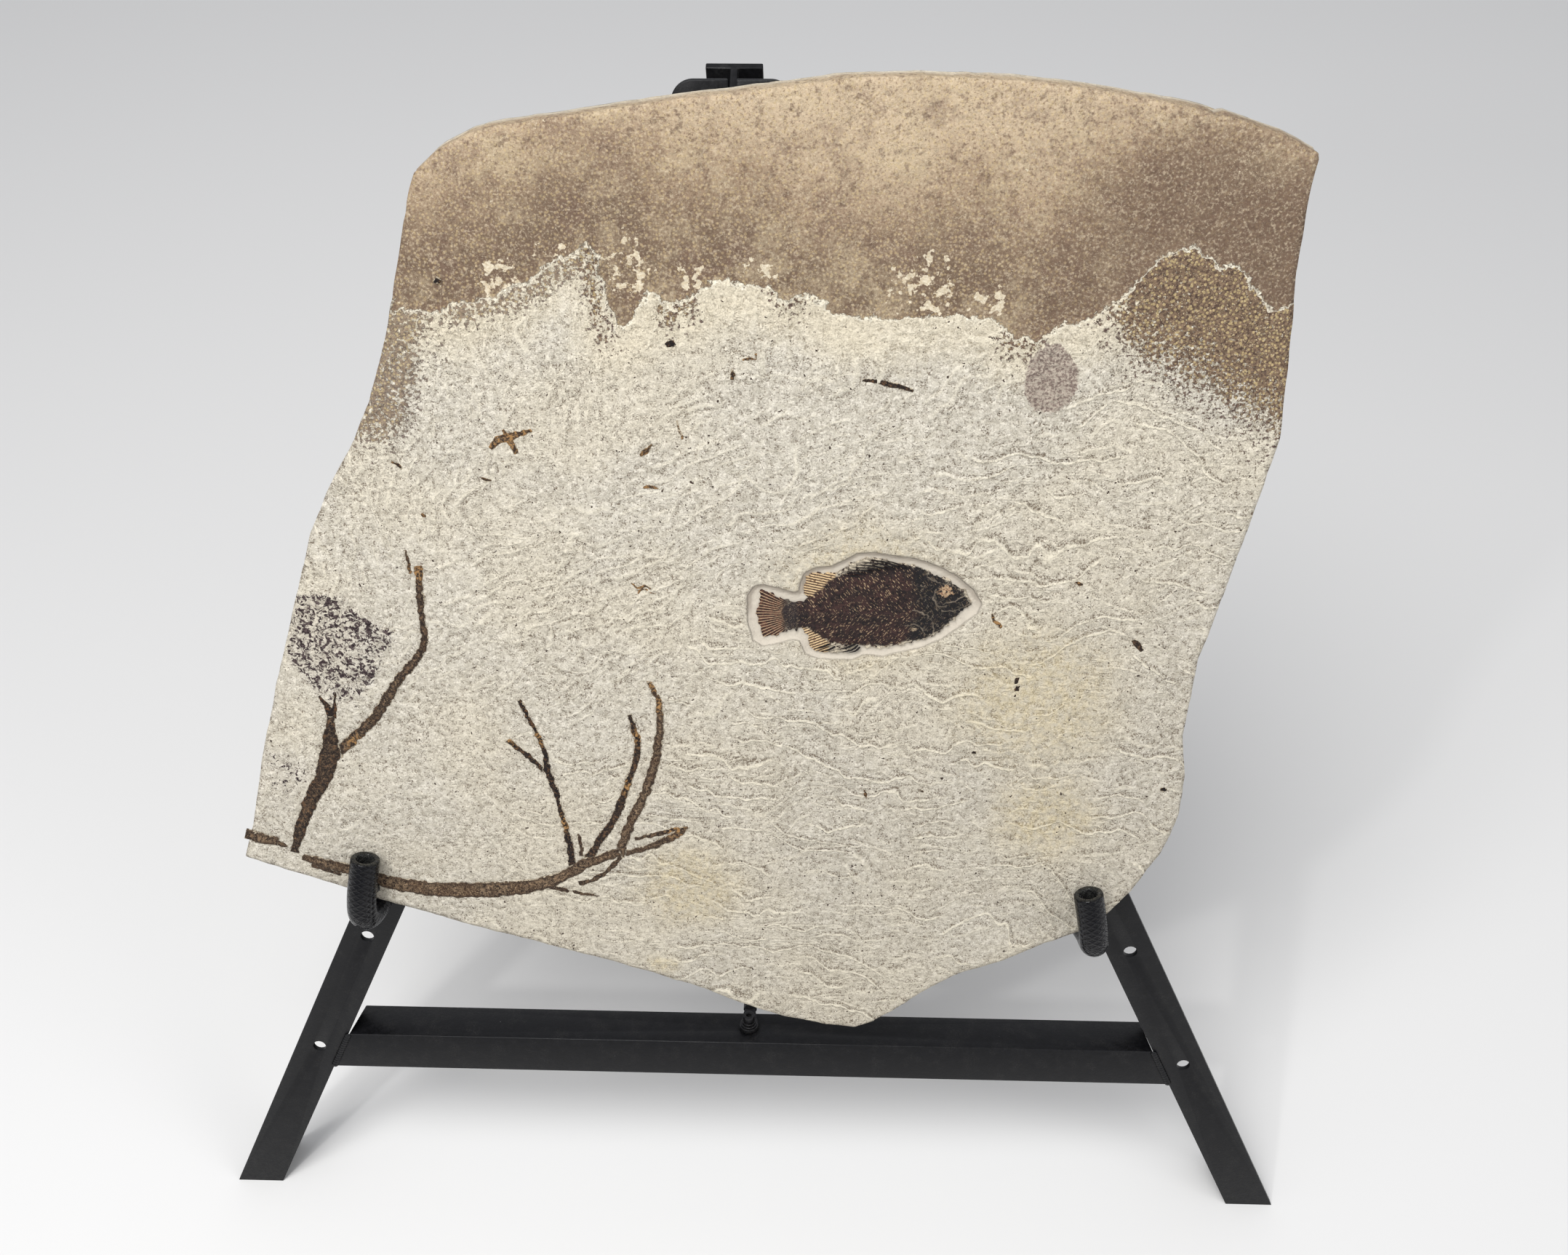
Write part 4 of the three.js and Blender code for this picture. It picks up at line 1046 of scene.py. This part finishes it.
# ---- Fossil twigs ----
# Leafless twigs carbonised to a thin brown film with ragged borders, the thin ones darker
# with swollen leaf scars and rusty tips. Each lies bedded in the stone.
TWIG_GRID = 0.75
DARKNESS = {"thin_twig": 0.97, "thin_twig_fork": 0.92, "inner_branch": 0.8,
            "left_twig_stem": 0.72, "left_twig_branch": 0.5, "left_fork": 0.95,
            "right_fork": 0.95}
RUSTY_TIPS = [(-122, 342), (-105, 345), (-53, 345), (-41, 365), (-45, 378), (-96, 290),
              (-60, 315), (-201, 339), (-158, 440), (-36, 287)]
TWIG_SCRAPS = {  # stations of u, v, width
    "stub": [(-87, 268, 2.4), (-87.5, 276, 1.9), (-88, 283, 1)],
    "lower_strand": [(-90, 250, 3), (-82, 252.5, 3.2), (-75, 257, 3), (-70, 263, 3),
                     (-66, 268, 2)],
    "upper_side": [(-58, 280, 2), (-45, 284, 2.8), (-36, 287, 2.6), (-29, 288, 1.4)],
    "spur": [(-106, 247.5, 3), (-97, 245, 2.6), (-88, 243, 2), (-79, 241.6, 1)],
    "left_fork": [(-212, 354, 4.4), (-213.6, 361, 3.2), (-216.4, 368, 1.2)],
    "right_fork": [(-211.6, 354, 3.6), (-209.8, 361, 2.6), (-208, 369, 1)],
    "left_tip": [(-161.5, 440, 1.8), (-162, 447, 1.8), (-162.6, 453, 0.9)],
    "lower_fringe": [(-236, 259, 2), (-229, 256, 3), (-220, 252.4, 2)],
    "broken_end": [(-269, 279, 5), (-262, 277, 6.5), (-252, 273.5, 4), (-247, 271, 1.6)],
}
fossil_wood, tree, shader, mm = new_material("fossil_wood")
fine, coarse = in_group(grain_group, Place=mm, Size=0.7)
coal = coats(tones(coarse, 0.5, 0.68, (20, 12, 11), (92, 62, 36)),
             (fine, 0.6, 0.68, 0.75, (146, 114, 78)))
edge = attribute(tree, "edge")
bark = coats(
    tones(coarse, 0.38, 0.62, (50, 37, 28), (134, 111, 86)),
    (noise(mm, 9, 3), 0.42, 0.66, 0.6, (84, 60, 40)),
    (fine, 0.54, 0.68, 0.85, (176, 152, 120)),
    (fine, 0.48, 0.38, 0.9, (34, 22, 16)),
    (edge, 2.2, 0.6, 0.6, (46, 32, 23)),
    (attribute(tree, "dark"), coal),
    (times(attribute(tree, "rusty"), between(coarse, 0.46, 0.6)), (158, 120, 74)),
    (plus(edge, between(coarse, 0.3, 0.7, -0.5, 0.5)), 0.15, -0.2, 0.85, (190, 176, 152)))
give_surface(shader, bark, between(coarse, 0.3, 0.7, 0.9, 0.6),
             mad(fine, 0.5, times(coarse, 0.8)), 0.3)


def ribbon(stations):
    """The outline of a tapering strip along a centre line of (u, v, width)."""
    line = np.array(stations, float)
    ahead = np.gradient(line[:, :2], axis=0)
    ahead /= np.linalg.norm(ahead, axis=1)[:, None]
    aside = np.stack([-ahead[:, 1], ahead[:, 0]], -1) * line[:, 2:] / 2
    return np.vstack([line[:, :2] + aside, (line[:, :2] - aside)[::-1]])


def bed_in_stone(name, loop, thickness, grid, dark, rust, fray, replaced=None):
    """A ragged low relief inside an outline, let into the stone's own surface."""
    low, high = loop.min(0) - 0.5, loop.max(0) + 0.5
    piece = cut_grid(name, loop, spread(low[0], high[0], grid), spread(low[1], high[1], grid))
    drop_walls(1)
    u, v, n = flat_points(piece.data)
    skirt = n < -0.5
    edge = depth_within(u, v, loop)
    u = u + fray * lumps(u, v, 2.7, 91, 2) * ramp(edge, 2, 0)
    v = v + fray * lumps(u, v, 2.5, 93, 2) * ramp(edge, 2, 0)
    lift = thickness * (0.35 + 0.65 * (1 - np.exp(-edge / 1.2)))
    lift += 0.45 * thickness * lumps(u, v, 2.2, 95, 2) * ramp(edge, 0, 1)
    level = swell(u, v) + 0.6 * bumps(u, v)
    place_smooth(piece.data, on_easel(u, v, SLAB_FACE + level + np.where(skirt, -1.3, lift)))
    rusty = np.full(len(u), float(rust))
    for tip_u, tip_v in RUSTY_TIPS:
        rusty = np.maximum(rusty, ramp(np.hypot(u - tip_u, v - tip_v), 8, 2))
    add_attributes(piece.data, edge=edge, dark=np.full(len(u), dark), rusty=rusty)
    record(piece, fossil_wood, replaced)


for name in TWIGS:
    bed_in_stone("fossil_" + name, face_loops(name, TWIG_TOP)[0], 0.6, TWIG_GRID,
                 DARKNESS.get(name, 0.15), 0, 0.6, name)
for name, stations in TWIG_SCRAPS.items():
    bed_in_stone("twig_scrap_" + name, ribbon(stations), 0.35, 0.45, DARKNESS.get(name, 0.4),
                 0, 0.5)

# ---- Plant flecks ----
# Scraps of leaf stalk, seed and bark scattered over the bedding plane. They are carbonised
# like the twigs, and some are rusty.
FLECKS = {  # stations of u, v, width, then dark, rust
    "dark_stick": ([(59, 543.6, 1.2), (66, 543, 2.4), (75, 540.8, 2.6),
                    (82.5, 538.8, 1.4)], 0.8, 0),
    "cross_arm": ([(-116.5, 507.5, 2), (-112, 512, 4.4), (-106, 513.5, 4.6),
                   (-96, 517, 1.6)], 0, 0.9),
    "cross_leg": ([(-109.5, 517.5, 1.4), (-107, 512, 3.6), (-104, 505, 2.4)], 0.1, 0.8),
    "black_dot": ([(-31, 559.6, 2), (-28.8, 560.4, 4), (-27, 561, 2)], 1, 0),
    "brown_seed": ([(-0.6, 548, 1), (-1, 545.5, 2.2), (-1, 543, 1.4)], 0.8, 0.3),
    "rust_thread": ([(3.8, 552.6, 0.9), (7.5, 553.8, 1.5), (10.5, 553, 1.2),
                     (10, 556.4, 1.2)], 0, 1),
    "thin_thread": ([(-27.6, 523, 0.8), (-26.4, 518, 0.9), (-24.8, 513, 1.2)], 0.2, 0.9),
    "bark_scrap": ([(-45.6, 504.6, 1.6), (-43.4, 506.4, 3.2), (-41, 508, 2),
                    (-39.8, 510, 1)], 0.2, 0.6),
    "level_thread": ([(-44.4, 488, 1), (-41, 488.4, 1.8), (-37, 487.4, 0.8)], 0.2, 0.7),
    "left_fleck": ([(-122, 491.9, 1.2), (-119.6, 491, 2), (-117, 490.9, 1)], 0.5, 0.3),
    "rust_bar": ([(125.2, 421.4, 1.1), (126.6, 417.6, 1.9), (129.4, 415, 1.8),
                  (130.4, 413.4, 1)], 0.2, 1),
    "dark_bar": ([(139.7, 385.4, 2.6), (140, 381, 2.8), (140.2, 377, 2.2)], 0.85, 0),
    "oval_seed": ([(195.6, 408, 2), (197.6, 405.4, 3.4), (200.6, 401.8, 1.8)], 0.7, 0),
    "small_dot": ([(119.4, 340, 1.4), (120.8, 339.6, 2), (122, 339.4, 1)], 1, 0),
    "right_dot": ([(218, 319, 1.6), (219.8, 318.4, 2.6), (221.4, 318, 1.4)], 1, 0),
    "low_dot": ([(64.4, 314.6, 1.2), (64.8, 312, 1.8), (65.2, 309.6, 1)], 0.8, 0.4),
    "far_dot": ([(85, 256, 1), (86.4, 256, 1.8), (87.6, 255.6, 1)], 0.9, 0),
    "lower_dot": ([(93.6, 315.2, 1), (94.6, 314.8, 1.4), (95.6, 314.4, 0.8)], 0.9, 0.2),
    "hanging_thread": ([(-43, 433, 1), (-46, 434.4, 2), (-50, 433, 1.4), (-53, 436, 1)], 0.1, 0.8),
    "forked_thread": ([(-50, 430, 0.9), (-47, 433, 1.4), (-44, 431, 1),
                       (-41, 430, 0.8)], 0.1, 0.8),
    "top_dot": ([(-135, 589, 1.6), (-133.6, 589.4, 2.8), (-132, 589, 1.4)], 1, 0),
    "left_dot": ([(-153, 472.6, 1.4), (-151.8, 471.4, 2.4), (-150.4, 471, 1.2)], 0.9, 0.3),
    "left_streak": ([(-164, 500, 1.2), (-161.6, 498.6, 2.4), (-159.4, 496.4, 1.2)], 0.6, 0.4),
    "right_fleck": ([(164.4, 440, 1), (166.4, 439, 2), (168.6, 438.6, 1)], 0.5, 0.7),
}
for name, (stations, dark, rust) in FLECKS.items():
    bed_in_stone("fleck_" + name, ribbon(stations), 0.3, 0.4, dark, rust, 0.35)

# ---- Studio ----
# A plain pale floor under a soft white sky. Softboxes light the slab from above and from the
# right, and a narrow one on the left adds a streak to the glossy hoses.
bpy.ops.object.select_all(action="DESELECT")
bpy.ops.mesh.primitive_plane_add(size=12)
floor = bpy.context.object
floor.name = "studio_floor"
floor_paint, tree, shader, mm = new_material("studio_floor_paint")
connect(shader, {"Base Color": paint(222, 221, 219), "Roughness": 0.9})
floor.data.materials.append(floor_paint)

world = bpy.data.worlds.new("studio")
world.use_nodes = True
bpy.context.scene.world = world
world.node_tree.nodes["Background"].inputs[0].default_value = (0.93, 0.95, 1, 1)
world.node_tree.nodes["Background"].inputs[1].default_value = 0.55
bpy.context.scene.view_settings.view_transform = "Standard"


def softbox(name, place, aim, size, power):
    light = bpy.data.lights.new(name, "AREA")
    light.size, light.energy = size, power
    lamp = bpy.data.objects.new(name, light)
    lamp.location = place
    lamp.rotation_euler = (Vector(aim) - Vector(place)).to_track_quat("-Z", "Y").to_euler()
    bpy.context.scene.collection.objects.link(lamp)


softbox("overhead_softbox", (-0.5, -0.9, 2.4), (0, -0.1, 0.35), 1.1, 42)
softbox("side_softbox", (1.9, -1.4, 1.2), (0, -0.1, 0.35), 1.4, 14)
softbox("strip_softbox", (-0.55, -1.0, 1.2), (-0.1, -0.15, 0.25), 0.08, 3.5)

camera_data = bpy.data.cameras.new("camera")
camera_data.sensor_width, camera_data.lens = 36, 40.43
camera = bpy.data.objects.new("camera", camera_data)
right, up, view = (Vector(a) for a in (
    (0.9994, 0.0324, -0.0116), (-0.0146, 0.7036, 0.7105), (-0.0312, 0.7099, -0.7036)))
turned = Matrix((right, up, -view)).transposed().to_4x4()
camera.matrix_world = Matrix.Translation((0.0498, -0.7210, 1.0181)) @ turned
bpy.context.scene.collection.objects.link(camera)
bpy.context.scene.camera = camera
